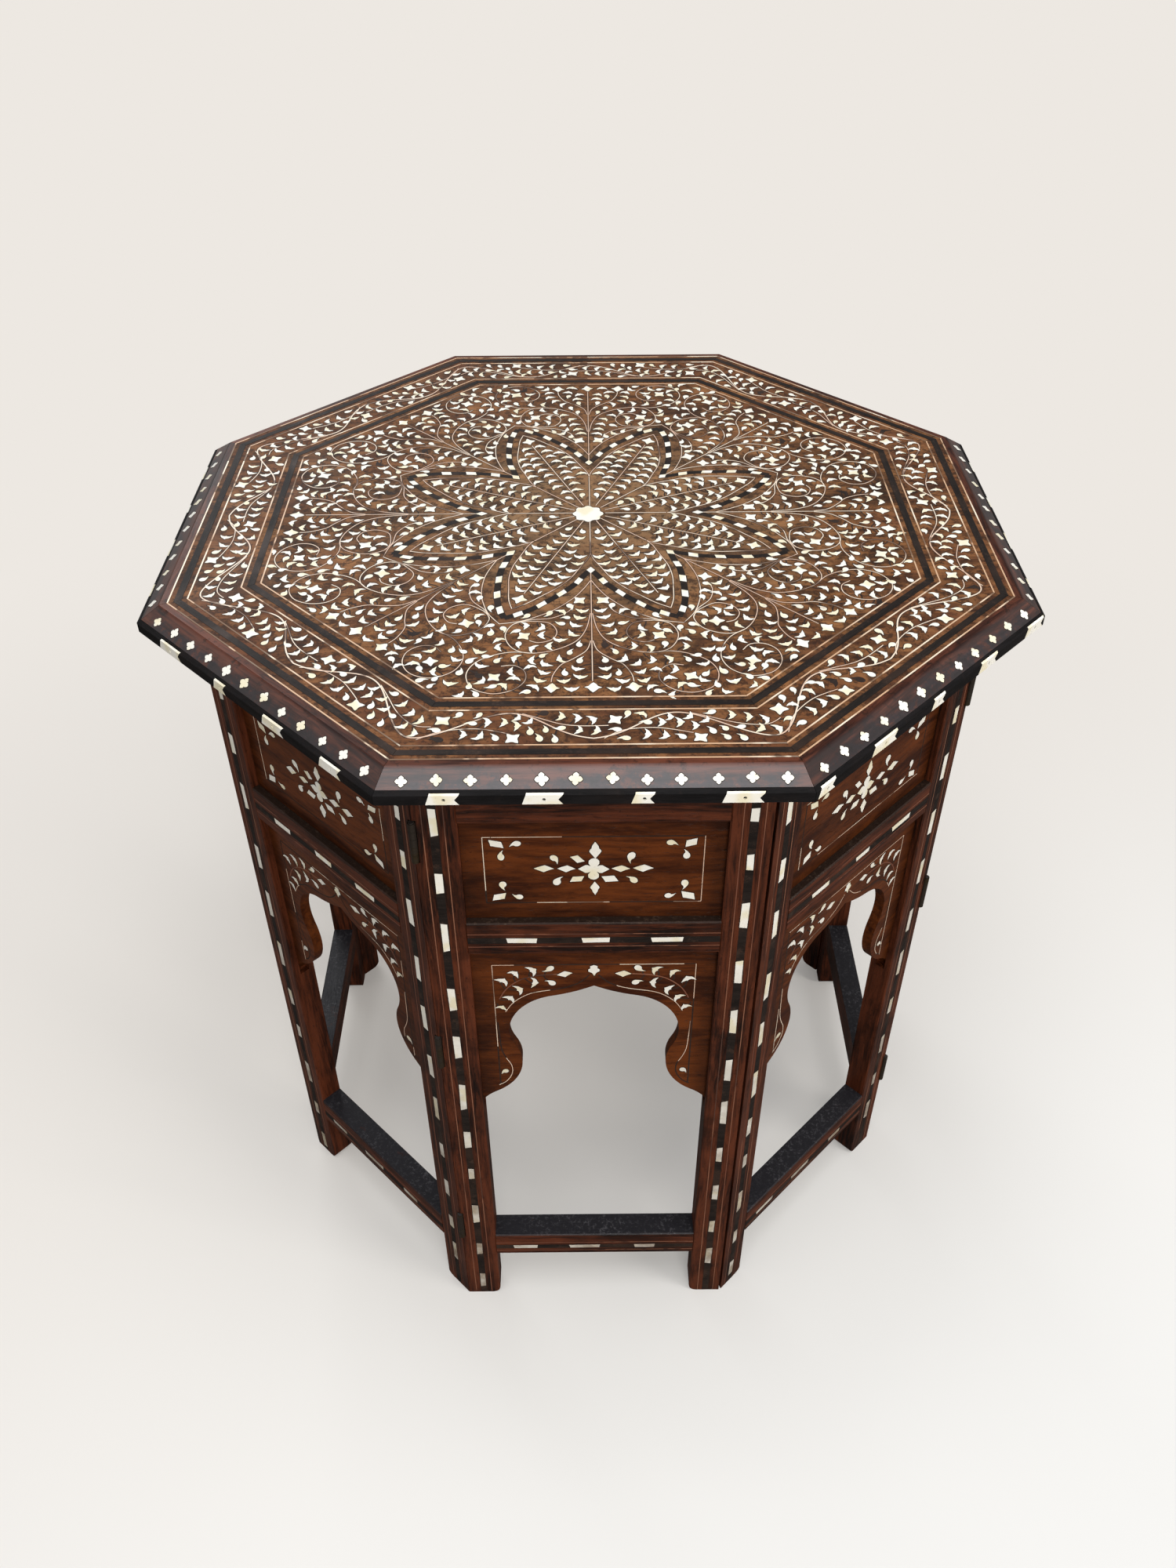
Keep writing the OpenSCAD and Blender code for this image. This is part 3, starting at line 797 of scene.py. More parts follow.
PETAL_STAR = 103.3
VALLEY_LOZENGE = 65.5
CHEQUER_FIRST = 14.0
CHEQUER_PITCH = 15.7
CHEQUER_END = 4

# One wave of the frieze's vine. x runs along it, anticlockwise round the table, y is the distance
# from the middle.
FRIEZE_MEAN = 208.0
FRIEZE_SWING = 10.3
FRIEZE_WAVE = 86.6
FRIEZE_BRANCHES = [
    [(5, 218.3), (12, 213), (20, 210.8), (31, 210.3), (40, 212.3), (47, 214.5)],
    [(50, 198.6), (60, 202.5), (70, 206.8), (80, 208.6), (94, 208.4)],
]
FRIEZE_LEAVES = [
    (34, 205.8), (42.5, 206.4), (49.5, 208.8), (25, 215.2), (33.5, 215.6), (70.4, 201), (78.4, 203),
    (86, 203.4), (79.6, 212.4), (88, 212.6),
]
FRIEZE_BUDS = [
    (26, 206), (41, 217), (14.5, 218), (56.5, 212.5), (61.5, 217.2), (69, 218.2), (60.6, 198.6),
    (70.6, 210.6), (97, 211), (17.5, 199.6),
]
FRIEZE_FLOWERS = [(49.5, 218), (97.4, 203.6)]
FRIEZE_BOX = (3, 199, FRIEZE_WAVE - 3, 218)
WAVE_ROOM = 8.0
VINE_STEPS = 48


def in_petal(at):
    """Whether a place of an eighth lies on a petal or right beside it."""
    spun = turned(HALF) @ Vector(at)
    for (x0, y0), (x1, y1) in zip(PETAL_OUTER, PETAL_OUTER[1:]):
        if y0 <= spun.y < y1:
            return abs(spun.x) < x0 + (x1 - x0) * (spun.y - y0) / (y1 - y0) + PETAL_ROOM
    return spun.y < PETAL_OUTER[0][1]


def off_field(at):
    """Whether a place is too near the edge of its eighth, or on a petal."""
    beside_line = at.y * math.tan(HALF) - at.x < LINE_ROOM
    return beside_line or near([Vector(MIDDLE_SHIELD)], at, SHIELD_ROOM) or in_petal(at)


def field_drawing(seed):
    """The vines of the eight eighths of the field."""
    whole = Drawing(seed)
    for k in range(8):
        for mirror in (False, True):
            part = Drawing(seed * 31 + 2 * k + mirror)
            stems = [smooth(s) for s in FIELD_STEMS]
            for shape, places in (("leaf", FIELD_LEAVES), ("bud", FIELD_BUDS)):
                for at in places:
                    part.grow(shape, at, stems, reach=9.0)
            for shape, x, y in FIELD_FLOWERS:
                part.put(shape, (x, y), (0.12, 1))
            part.fill(FIELD_BOX, stems, GAP_FIELD, off_field)
            for stem in stems[0 if mirror else 1:]:
                part.line("stem", stem)
            whole.add(part.transformed(turned(k * TURN + math.pi), mirror))
        middle = Drawing(seed + 90 + k)
        middle.put("shield", MIDDLE_SHIELD, (0, 1))
        whole.add(middle.transformed(turned(k * TURN + math.pi)))
        corner = Drawing(seed + 70 + k)
        for shape, y in CORNER_LINE:
            hand = corner.chance.choice(["_left", "_right"])
            at = (corner.chance.uniform(-1, 1), y)
            corner.put(shape + hand, at, (corner.chance.uniform(-0.2, 0.2), 1))
        whole.add(corner.transformed(turned(k * TURN + HALF + math.pi)))
    whole.shake(0.35)
    return whole


def petal_drawing(seed):
    """The eight petals, their chequered bands and the rosette."""
    whole = Drawing(seed)
    midrib = [Vector((0, y)) for y in PETAL_RIB]
    for k in range(8):
        rib = Drawing(seed)
        rib.line("stem", midrib)
        rib.put("star", (0, PETAL_STAR), (0.7, 0.7))
        whole.add(rib.transformed(turned(k * TURN + HALF + math.pi)))
        valley = Drawing(seed)
        valley.put("lozenge", (0, VALLEY_LOZENGE), (0, 1), loose=0.3)
        whole.add(valley.transformed(turned(k * TURN + math.pi)))
        for mirror in (False, True):
            part = Drawing(seed * 17 + 2 * k + mirror)
            for at in PETAL_LEAVES:
                part.grow("leaf", at, [midrib], 1.02, reach=17)
            for at in PETAL_BUDS:
                part.grow("bud", at, [midrib])
            band = smooth(PETAL_BAND)
            part.line("petal_ebony", band)
            length = path_length(band)
            place = CHEQUER_FIRST
            while place < length - CHEQUER_END:
                at, way = along(band, place)
                part.put("slant_left", at, (-way.y, way.x), loose=0.3)
                place += CHEQUER_PITCH
            for outline in (PETAL_INNER, PETAL_OUTER, *([] if mirror else [PETAL_RAY])):
                part.line("stem", smooth(outline))
            whole.add(part.transformed(turned(k * TURN + HALF + math.pi), mirror))
    whole.put("rosette", (-1, -1), (0, 1), loose=0)
    return whole


def on_frieze(k, place):
    """Point of the top for a place along the two waves of side k, bent so that they meet at the mitres."""
    x, y = place
    side, x = (k + 1, x - 2 * FRIEZE_WAVE) if x > FRIEZE_WAVE else (k, x)
    return turned(side * TURN) @ Vector((x / FRIEZE_WAVE * y * math.tan(HALF), -y))


def frieze_drawing(seed):
    """The vine that runs round the frieze, two waves on each side."""
    whole = Drawing(seed)
    vine = []
    for i in range(VINE_STEPS + 1):
        y = FRIEZE_MEAN + FRIEZE_SWING * math.cos(2 * math.pi * i / VINE_STEPS)
        vine.append(Vector((FRIEZE_WAVE * i / VINE_STEPS, y)))
    next_wave = Vector((FRIEZE_WAVE, 0))
    for k in range(8):
        round_corner = vine + [p + next_wave for p in vine[1:]]
        whole.line("vine", eased([on_frieze(k, p) for p in round_corner], 14))
        for wave in (-1, 0):
            part = Drawing(seed * 13 + 2 * k + wave)
            branches = [smooth(b) for b in FRIEZE_BRANCHES]
            stems = [vine] + branches
            for at in FRIEZE_LEAVES:
                part.grow("leaf", at, branches, reach=6)
            for at in FRIEZE_BUDS:
                part.grow("bud", at, stems, reach=6)
            for at in FRIEZE_FLOWERS:
                part.put("star", at, (1, 0.15))
            next_ones = [piece[1] + step for piece in part.pieces for step in (next_wave, -next_wave)]
            part.fill(FRIEZE_BOX, stems, GAP_FRIEZE, lambda at: near(next_ones, at, WAVE_ROOM))
            for branch in branches:
                part.line("stem", branch)
            for shape, at, turn, size, loose in part.pieces:
                here = at + wave * next_wave
                step = Vector((-math.sin(turn), math.cos(turn))) * 0.1
                heading = on_frieze(k, here + step) - on_frieze(k, here)
                whole.put(OTHER_HAND.get(shape, shape), on_frieze(k, here), heading, size, loose)
            for sort, paths in part.lines.items():
                for path in paths:
                    whole.line(sort, eased([on_frieze(k, p + wave * next_wave) for p in path], 3))
    whole.shake(0.3)
    return whole


def face_matrix(k, apothem, height, tilt=90.0):
    """Matrix that lays a drawing on side k. A tilt of 90 degrees stands it upright, facing out."""
    lean = Matrix.Rotation(math.radians(tilt), 4, "X")
    place = Matrix.Translation((0, -apothem * MM, height * MM))
    return Matrix.Rotation(k * TURN, 4, "Z") @ place @ lean


# The pattern of the panels.

# Places are from the middle of the panel and from the top of the table downwards.
PANEL_MIDDLE = 427.3
PANEL_HALF_W = 57.5
PANEL_HALF_H = 24.0
ROSE_PIECES = [
    ("four_petals", 0, 0.8, (0.0, 1), 1.0), ("lance", 0.8, 14.4, (0, 1), 1.08),
    ("lance", 0.6, -13.4, (0, -1), 1.0),
    ("rhomb", -14.4, 1.2, (0, 1), 0.9), ("rhomb", -26.2, 1.4, (0, 1), 1.02),
    ("rhomb", 14.2, 1.0, (0, 1), 0.92), ("rhomb", 26.0, 1.2, (0, 1), 1.02),
    ("slip_left", -8.5, 8.2, (1, 0.9), 0.76), ("slip_left", -8.9, -6.4, (0, 1), 0.86),
    ("slip_right", 8.6, -6.4, (0, 1), 0.9),
    ("bud_left", -20.2, 8.3, (-0.75, 0.8), 1.08), ("bud_left", -19.2, -7.6, (-0.3, -1), 1.06),
    ("bud_right", 19.2, 9.2, (0.35, 1), 1.16), ("bud_right", 20.6, -6.8, (0.55, -0.75), 1.1),
]
CORNER_PIECES = [
    ("slip_left", 50.4, 19.4, (-0.3, 1), 0.88), ("bud_left", 40.6, 19.4, (-1, 0.1), 0.96),
    ("bud_right", 48.4, 11.0, (-0.1, -1), 1.0),
]

# The spray over one shoulder of the arch and the line round the arch, from the middle of the panel.
ARCH_STEM = [(54.5, -193), (50, -184), (42, -176.5), (33, -173), (24, -172), (15, -171.6)]
ARCH_PIECES = [
    ("bud", 25.4, -167.6, 0.86), ("leaf", 35.0, -168.6, 0.84), ("leaf", 44.6, -171.6, 0.84),
    ("leaf", 52.8, -177.0, 0.84),
    ("bud", 24.4, -178.6, 0.86), ("leaf", 34.2, -179.4, 0.84), ("leaf", 43.0, -184.8, 0.84),
    ("leaf", 48.6, -192.6, 0.8), ("leaf", 53.0, -201.0, 0.72),
]
SPRAY_SIZE = 1.3
ARCH_EDGE_UP = [
    (2.5, -172.5), (8.0, -178.8), (14, -182.3), (21, -184.6), (33, -187.0), (40, -190.2), (47, -196.6),
    (51.5, -204.5),
]
ARCH_EDGE_LOW = [
    (56.5, -214), (56.0, -229), (55.2, -240), (52.8, -248), (50.3, -253.5), (49.6, -260), (51.2, -266),
    (54.4, -271), (58.5, -274),
]
ARCH_LINE_TOP = -163.8
ARCH_LINE_END = -274
ARCH_SINGLES = [
    ("rhomb", (16.6, -171.6), (0.1, 1), (0.86, 0.9)), ("bud_left", (54.6, -260.6), (-0.9, 0.5), (1.0, 0.9)),
]
ARCH_TREFOIL = (0, -168.8)

# Middles and lengths of the bone bars along the rails, from the middle, and down the stiles, from the
# top of the table.
MID_BARS = [(-39.5, 16), (1, 14.5), (40, 17.5)]
LOW_BARS = [(-48.5, 18), (-7, 22), (35, 15)]
LEFT_BARS = [
    (50.5, 21), (93.8, 16), (135.5, 22), (187.3, 21), (230.7, 22), (279.8, 24), (325, 18), (363.5, 13),
    (412, 23), (457, 14), (499.8, 18),
]
RIGHT_BARS = [
    (46.9, 10), (80, 12), (119.7, 20), (165.5, 21), (209, 21), (255, 22), (298, 23), (344, 16),
    (388, 19), (430.5, 14), (469, 21),
]
MID_BAND_Z = 378.7
LOW_BAND_Z = 62.2
# How far the thin threads run beside the middle of a band.
STILE_THREAD = 5.6
RAIL_THREAD = 4.9


def broken_line(drawing, path, share):
    """A thin pale line that has lost parts, in its dark groove."""
    path = [Vector(p) for p in path]
    drawing.line("groove", path)
    length = path_length(path)
    place = 0.0
    while place < length - 1:
        run = drawing.chance.uniform(12, 40)
        if drawing.chance.random() < share:
            steps = max(2, int(run / 2.5))
            stop = min(place + run, length)
            places = [place + (stop - place) * i / steps for i in range(steps + 1)]
            drawing.line("fine", [along(path, at)[0] for at in places])
        place += run + 0.4


def upper_panel_drawing(seed):
    """Rose of lozenges and buds, four corner sprigs and a thin frame."""
    d = Drawing(seed)
    for shape, x, y, heading, size in ROSE_PIECES:
        d.put(shape, (x, y), heading, (size, size), 0.5)
    for sx in (-1, 1):
        for sy in (-1, 1):
            for shape, x, y, (across, up), size in CORNER_PIECES:
                label = OTHER_HAND.get(shape, shape) if sx * sy < 0 else shape
                d.put(label, (x * sx, y * sy), (across * sx, up * sy), (size, size), 0.5)
    w, h = PANEL_HALF_W, PANEL_HALF_H
    corners = [(-w, -h), (w, -h), (w, h), (-w, h), (-w, -h)]
    for a, b in zip(corners, corners[1:]):
        broken_line(d, [a, b], 0.66)
    return d


def arch_drawing(seed):
    """Two sprays that grow towards the point of the arch, a trefoil over it, and thin lines round them."""
    d = Drawing(seed)
    for mirror in (True, False):
        part = Drawing(seed * 5 + mirror)
        stem = smooth(ARCH_STEM)
        for shape, x, y, size in ARCH_PIECES:
            part.grow(shape, (x, y), [stem], size * SPRAY_SIZE)
        for single in ARCH_SINGLES:
            part.put(*single, 0.5)
        part.line("twig", stem)
        d.add(part.transformed(Matrix.Identity(2), mirror))
        sx = -1 if mirror else 1
        broken_line(d, [(p.x * sx, p.y) for p in smooth(ARCH_EDGE_UP)], 0.8)
        broken_line(d, [(p.x * sx, p.y) for p in smooth(ARCH_EDGE_LOW)], 0.6)
        broken_line(d, [(PANEL_HALF_W * sx, ARCH_LINE_TOP), (PANEL_HALF_W * sx, ARCH_LINE_END)], 0.7)
    broken_line(d, [(-PANEL_HALF_W, ARCH_LINE_TOP), (PANEL_HALF_W, ARCH_LINE_TOP)], 0.75)
    d.put("trefoil", ARCH_TREFOIL, (0, 1), (0.95, 0.95), 0.4)
    return d


def frame_drawing(k):
    """Ebony bands with bone bars, and threads beside them, on the stiles and rails of side k.

    The bars of the front stand as in the photograph, and those of the other sides are slipped by chance.
    """
    d = Drawing(BAND_SEED + 9 * k)
    slip = d.chance.uniform(-BAND_SLIP, BAND_SLIP) if k else 0
    for sx, bars in ((-1, LEFT_BARS), (1, RIGHT_BARS)):
        x = STILE_BAND * sx
        d.line("ebony", [(x, 1), (x, RING_TOP - 1)])
        for aside in (-STILE_THREAD, STILE_THREAD):
            d.line("thread", [(x + aside, 1), (x + aside, RING_TOP - 1)])
        for middle, run in bars:
            z = WOOD_TOP - middle + slip
            if run / 2 + 2 < z < RING_TOP - run / 2:
                d.put("bar", (x, z), (sx, 0), (run / BAR_L, 1), 0.15)
    for level, bars in ((MID_BAND_Z, MID_BARS), (LOW_BAND_Z, LOW_BARS)):
        d.line("ebony", [(-STILE_FROM, level), (STILE_FROM, level)])
        for aside in (-RAIL_THREAD, RAIL_THREAD):
            d.line("thread", [(-STILE_FROM, level + aside), (STILE_FROM, level + aside)])
        for x, run in bars:
            d.put("bar", (x + slip * 0.5, level), (0, 1), (run / BAR_L, 0.9), 0.15)
    return d


# Steps of the finishes.

# Where the finishes change, in metres. Each pair runs from no effect to the full effect.
FRIEZE_EDGE = (0.1935, 0.1965)
MARGIN_EDGE = (0.2395, 0.2365)
ARRIS_EDGE = (0.2465, 0.2385)
MITRE_EDGE = (0.018, 0.001)
STILE_EDGE = (0.052, 0.070)
MID_RAIL_EDGE = (0.029, 0.012)
TOP_RAIL_EDGE = (0.450, 0.467)
LOW_RAILS = (0.15, 0.30)
LOW_BONE = (0.46, 0.02)
WORN_MIDDLE = (0.17, 0.03)
# Shift of the figure from side to side, so that no two sides are alike.
SIDE_SHIFT = 0.731


def noise(vector, scale, detail=3.0, roughness=0.55, distortion=0.0):
    values = {"Scale": scale, "Detail": detail, "Roughness": roughness, "Distortion": distortion}
    return node("ShaderNodeTexNoise", Vector=vector, **values)


def stretched(vector, scale):
    return vector_maths("MULTIPLY", vector, scale)


def ramp(value, low, high):
    """0 under low, 1 over high and smooth between them. With low over high it falls."""
    smoothly = {"interpolation_type": "SMOOTHSTEP"}
    return node("ShaderNodeMapRange", settings=smoothly, Value=value, From_Min=low, From_Max=high)


def mix(share, base, over):
    """The base colour, with a share of the colour over it."""
    made = node("ShaderNodeMix", share, output=2, settings={"data_type": "RGBA"})
    for index, shade in ((6, base), (7, over)):
        plug(made.socket.node.inputs[index], shade if isinstance(shade, Wire) else (*shade[:3], 1))
    return made


def layered(base, layers):
    """The base colour under layers, each given by its share and its colour."""
    for share, over in layers:
        base = mix(share, base, over)
    return base


def scaled(shade, by):
    return [c * by for c in shade]


def group(name, vector, **inputs):
    """Outputs of a shared effect, by name."""
    made = vector.tree.nodes.new("ShaderNodeGroup")
    made.node_tree = bpy.data.node_groups[name]
    for key, value in {"Vector": vector, **inputs}.items():
        plug(made.inputs[key], value)
    return {socket.name: Wire(socket) for socket in made.outputs}


def new_material(name):
    """Material with a plain Principled shader. Gives the shader and the Object coordinates."""
    material = bpy.data.materials.new(LOOK + name)
    material.use_nodes = True
    nodes = material.node_tree.nodes
    nodes.clear()
    shader = nodes.new("ShaderNodeBsdfPrincipled")
    plug(nodes.new("ShaderNodeOutputMaterial").inputs["Surface"], Wire(shader.outputs[0]))
    return shader, Wire(nodes.new("ShaderNodeTexCoord").outputs["Object"])


def dress(shader, **inputs):
    """Fills the shader's inputs by name."""
    for key, value in inputs.items():
        plug(shader.inputs[key.replace("_", " ")], value)


def bump(shader, height, distance, strength):
    dress(shader, Normal=node("ShaderNodeBump", Height=height, Distance=distance, Strength=strength))


def build_shader_groups():
    """The effects that several finishes share."""
    given, out = new_tree(
        "ShaderNodeTree",
        "Side coordinates",
        [("Vector", "Vector")],
        [("Vector", "Vector"), ("Along", "Float"), ("Apothem", "Float")],
    )
    x, y, _ = parts(given["Vector"])
    side = maths("ROUND", maths("ARCTAN2", x, y * -1.0) / TURN)
    to_front = {"rotation_type": "Z_AXIS"}
    spun = node("ShaderNodeVectorRotate", settings=to_front, Vector=given["Vector"], Angle=side * -TURN)
    along_side, depth, height = parts(spun)
    plug(out["Vector"], node("ShaderNodeCombineXYZ", along_side + side * SIDE_SHIFT, depth, height))
    plug(out["Along"], along_side)
    plug(out["Apothem"], depth * -1.0)

    given, out = new_tree(
        "ShaderNodeTree",
        "Wood figure",
        [("Vector", "Vector"), ("Stretch", "Vector", (1.0, 14.0, 14.0)), ("Scale", "Float", 6.0)],
        [("Figure", "Float"), ("Pores", "Float"), ("Height", "Float")],
    )
    sway = node("ShaderNodeTexNoise", output="Color", Vector=given["Vector"], Scale=9.0, Detail=2.0)
    bent = vector_maths("ADD", given["Vector"], vector_maths("SCALE", sway, Scale=0.012))
    fibre = stretched(bent, given["Stretch"])
    broad = noise(fibre, given["Scale"], 5.0, 0.6, 0.4)
    fine = noise(fibre, given["Scale"] * 6.0, 4.0, 0.65)
    pores = ramp(noise(fibre, given["Scale"] * 22.0, 2.0), 0.60, 0.74)
    plug(out["Figure"], ramp(fine * 0.45 + broad * 0.62, 0.40, 0.66))
    plug(out["Pores"], pores)
    plug(out["Height"], fine - pores * 0.7)

    given, out = new_tree(
        "ShaderNodeTree",
        "Patina",
        [("Vector", "Vector"), ("Scale", "Float", 14.0)],
        [("Grime", "Float"), ("Rubbed", "Float"), ("Specks", "Float")],
    )
    vector, scale = given["Vector"], given["Scale"]
    elsewhere = vector_maths("ADD", vector, (3.1, 7.7, 1.3))
    plug(out["Grime"], ramp(noise(vector, scale, 6.0, 0.62, 0.3), 0.50, 0.68))
    plug(out["Rubbed"], ramp(noise(elsewhere, scale * 0.6, 5.0, 0.6), 0.48, 0.70))
    plug(out["Specks"], ramp(noise(vector, scale * 30.0, 2.0), 0.66, 0.76))


# Finishes.


def wood(name, dark, light, stretch, scale, rough=0.44, sided=True, grime=0.7, gloss=0.18, paint=None):
    """Oiled old wood: figure, rubbed places, pores, grime in the hollows, specks and scratches."""
    shader, coords = new_material(name)
    vector = group("Side coordinates", coords)["Vector"] if sided else coords
    figure = group("Wood figure", vector, Stretch=stretch, Scale=scale)
    patina = group("Patina", coords, Scale=16.0)
    scratch = noise(stretched(vector, [s ** 0.5 for s in stretch]), 60.0, 6.0, 0.8)
    shade = layered(mix(figure["Figure"], dark, light), [
        (patina["Rubbed"] * 0.35, scaled(light, 1.35)),
        (figure["Pores"] * 0.55, scaled(dark, 0.5)),
        (patina["Grime"] * grime, scaled(dark, 0.55)),
        (patina["Specks"] * 0.6, scaled(dark, 0.4)),
        (ramp(scratch, 0.56, 0.66) * 0.4, scaled(dark, 0.35)),
        (ramp(scratch, 0.42, 0.33) * 0.3, scaled(light, 1.5)),
    ])
    if paint:
        shade = paint(coords, shade)
    roughness = patina["Rubbed"] * -0.12 + rough
    dress(shader, Base_Color=shade, Roughness=roughness, Specular_IOR_Level=gloss)
    bump(shader, figure["Height"], 0.00025, 0.55)


def sooty_ledges_and_cold_sheen(coords, base):
    """Black, dusty tops of the rails, brown on the middle rails and cold grey near the floor, where the cold
    tint is partly a painted reflection of cool light.
    """
    normal = Wire(coords.tree.nodes.new("ShaderNodeNewGeometry").outputs["Normal"])
    ledge = ramp(parts(normal)[2], 0.4, 0.8) * ramp(noise(coords, 55.0, 6.0, 0.7), 0.24, 0.36)
    dust = ramp(noise(coords, 420.0, 6.0, 0.78), 0.50, 0.66)
    broad = ramp(noise(coords, 42.0, 3.0, 0.5), 0.35, 0.65)
    high = ramp(parts(coords)[2], *LOW_RAILS)
    # The cold, bluish tints of the low ledges are partly painted reflection and partly dust and soot.
    soot = mix(high, (0.017, 0.016, 0.019), (0.024, 0.0135, 0.0095))
    pale = mix(high, (0.13, 0.125, 0.135), (0.135, 0.088, 0.062))
    return mix(ledge, base, mix(dust * (broad * 0.4 + 0.12), soot, pale))


def shade_and_dirt_borders(coords, base):
    """Darker panels along the frame: painted shade in the recess by the stiles and rails, with old dirt where
    a cloth doesn't reach.
    """
    x = maths("ABSOLUTE", group("Side coordinates", coords)["Along"])
    z = parts(coords)[2]
    from_rail = maths("ABSOLUTE", z - sum(MID_RAIL) / 2 * MM)
    by_rails = maths("MAXIMUM", ramp(from_rail, *MID_RAIL_EDGE), ramp(z, *TOP_RAIL_EDGE))
    border = maths("MAXIMUM", ramp(x, *STILE_EDGE), by_rails)
    patchy = noise(coords, 45.0, 5.0, 0.65) * 1.1 - 0.1
    # Painted shade and old dirt: a near-black brown laid on the panels along the stiles and rails.
    return mix(border * patchy, base, (0.0085, 0.0035, 0.0022))


def mottled_top(coords, base):
    """Clouds of gold, red and dark on the top, a redder frieze, a paler middle, and specks of dirt."""
    away = vector_maths("ADD", coords, (1.7, 4.1, 0.6))
    gold = ramp(noise(stretched(away, (1.0, 1.7, 1.0)), 44.0, 6.0, 0.68, 0.5), 0.45, 0.62)
    red = ramp(noise(coords, 25.0, 5.0, 0.65), 0.48, 0.64)
    frieze = ramp(group("Side coordinates", coords)["Apothem"], *FRIEZE_EDGE)
    reach = vector_maths("LENGTH", stretched(coords, (1.0, 1.0, 0.0)), output="Value")
    worn = ramp(reach, *WORN_MIDDLE) * noise(away, 60.0, 5.0, 0.7)
    specks = ramp(noise(coords, 210.0, 5.0, 0.72), 0.47, 0.60)
    dark = ramp(noise(away, 27.0, 7.0, 0.72), 0.50, 0.62)
    return layered(base, [
        (gold * 0.62, (0.33, 0.148, 0.055)),
        (frieze * 0.28 + red * 0.5, (0.120, 0.040, 0.017)),
        (worn * 0.9, (0.29, 0.185, 0.098)),
        (specks * 0.74, (0.019, 0.0085, 0.005)),
        (dark * 0.55, (0.030, 0.014, 0.008)),
    ])


def moulding_material(stain):
    """Edge moulding: near black on its bevel, under old polish, and reddish on its margin and mitres."""
    shader, coords = new_material("edge_moulding")
    side = group("Side coordinates", coords)
    figure = group("Wood figure", side["Vector"], Stretch=(1.0, 12.0, 12.0), Scale=7.0)
    margin = ramp(side["Apothem"], *MARGIN_EDGE)
    from_mitre = side["Apothem"] * math.tan(HALF) - maths("ABSOLUTE", side["Along"])
    rim = maths("MAXIMUM", ramp(from_mitre, *MITRE_EDGE), ramp(side["Apothem"], *ARRIS_EDGE))
    worn = ramp(rim * 0.31 + noise(side["Vector"], 34.0, 5.0, 0.68), 0.54, 0.74)
    fleck = noise(coords, 150.0, 6.0, 0.75)
    bare = maths("MAXIMUM", worn * 0.85, ramp(fleck, 0.49, 0.60) * 0.72)
    black = mix(figure["Figure"], stain, scaled(stain, 2.2))
    red = mix(figure["Figure"], (0.020, 0.006, 0.004), (0.125, 0.036, 0.018))
    shade = layered(black, [
        (maths("MAXIMUM", margin, bare), red),
        (ramp(fleck, 0.47, 0.36) * 0.65, (0.007, 0.004, 0.003)),
    ])
    roughness = group("Patina", coords, Scale=16.0)["Rubbed"] * -0.12 + 0.42
    dress(shader, Base_Color=shade, Roughness=roughness, Specular_IOR_Level=0.1)
    dress(shader, Coat_Weight=margin * -0.96 + 1.0, Coat_Roughness=0.42, Coat_IOR=1.6)
    bump(shader, figure["Height"], 0.00025, 0.16)


def bone_material(cream):
    """Old bone: fine pores, pieces of slightly different cream, a few stained, and darker towards the bottom.
    """
    shader, coords = new_material("bone")
    tint = ramp(noise(coords, 95.0, 1.0, 0.4), 0.46, 0.66)
    pores = ramp(noise(stretched(coords, (1.0, 3.2, 1.0)), 900.0, 3.0), 0.60, 0.72)
    stain = ramp(noise(coords, 32.0, 5.0, 0.65), 0.64, 0.74)
    low = ramp(parts(coords)[2], *LOW_BONE)
    patchy = ramp(noise(coords, 60.0, 4.0, 0.6), 0.36, 0.62) * 0.45 + 0.5
    shade = layered(cream, [
        (tint, (0.80, 0.735, 0.545)),
        (pores * 0.28, (0.42, 0.33, 0.22)),
        (stain * 0.55, (0.38, 0.25, 0.14)),
        (low * patchy, (0.235, 0.18, 0.132)),
    ])
    dress(shader, Base_Color=shade, Roughness=pores * 0.2 + 0.42, Specular_IOR_Level=0.14)
    bump(shader, pores, -0.00004, 0.5)


def ebony_material(name, black, worn, rough=0.6, gloss=0.2):
    """Black wood or setting with faint fibres, brown rubbed places and scuffs."""
    shader, coords = new_material(name)
    vector = group("Side coordinates", coords)["Vector"]
    figure = group("Wood figure", vector, Stretch=(1.5, 16.0, 16.0), Scale=11.0)
    rubbed = group("Patina", coords, Scale=34.0)["Rubbed"]
    scuffed = ramp(noise(vector, 120.0, 6.0, 0.75), 0.54, 0.66)
    shade = layered(mix(figure["Figure"], black, scaled(black, 2.1)), [
        (rubbed * 0.6, worn),
        (scuffed * 0.4, scaled(worn, 1.5)),
    ])
    dress(shader, Base_Color=shade, Roughness=rubbed * -0.1 + rough, Specular_IOR_Level=gloss)
    bump(shader, figure["Height"], 0.00015, 0.5)


def line_material(name, shade, dark, pale, keep, white=0.42):
    """Fine lines of pale wood and bone: whiter in places, and in others darkened or lost."""
    shader, coords = new_material(name)
    run = stretched(group("Side coordinates", coords)["Vector"], (1.0, 0.25, 0.25))
    lost = ramp(noise(run, 42.0, 3.0, 0.55), keep, keep + 0.05)
    whiter = ramp(noise(run, 23.0, 3.0), white, white + 0.16)
    shade = layered(shade, [(whiter, pale), (lost * 0.85, dark)])
    dress(shader, Base_Color=shade, Roughness=lost * 0.2 + 0.42)
    bump(shader, lost, -0.00005, 0.4)


def metal_material(name, bright, tarnished, rough, share):
    """Old metal: tarnish over most of it, brighter where it is handled."""
    shader, coords = new_material(name)
    patina = group("Patina", coords, Scale=90.0)
    rubbed = patina["Rubbed"]
    shade = layered(tarnished, [(rubbed * share, bright), (patina["Specks"], scaled(tarnished, 0.4))])
    dress(shader, Base_Color=shade, Roughness=rubbed * -0.18 + rough, Metallic=rubbed * 0.5 + 0.45)
    bump(shader, patina["Grime"], 0.0001, 0.5)


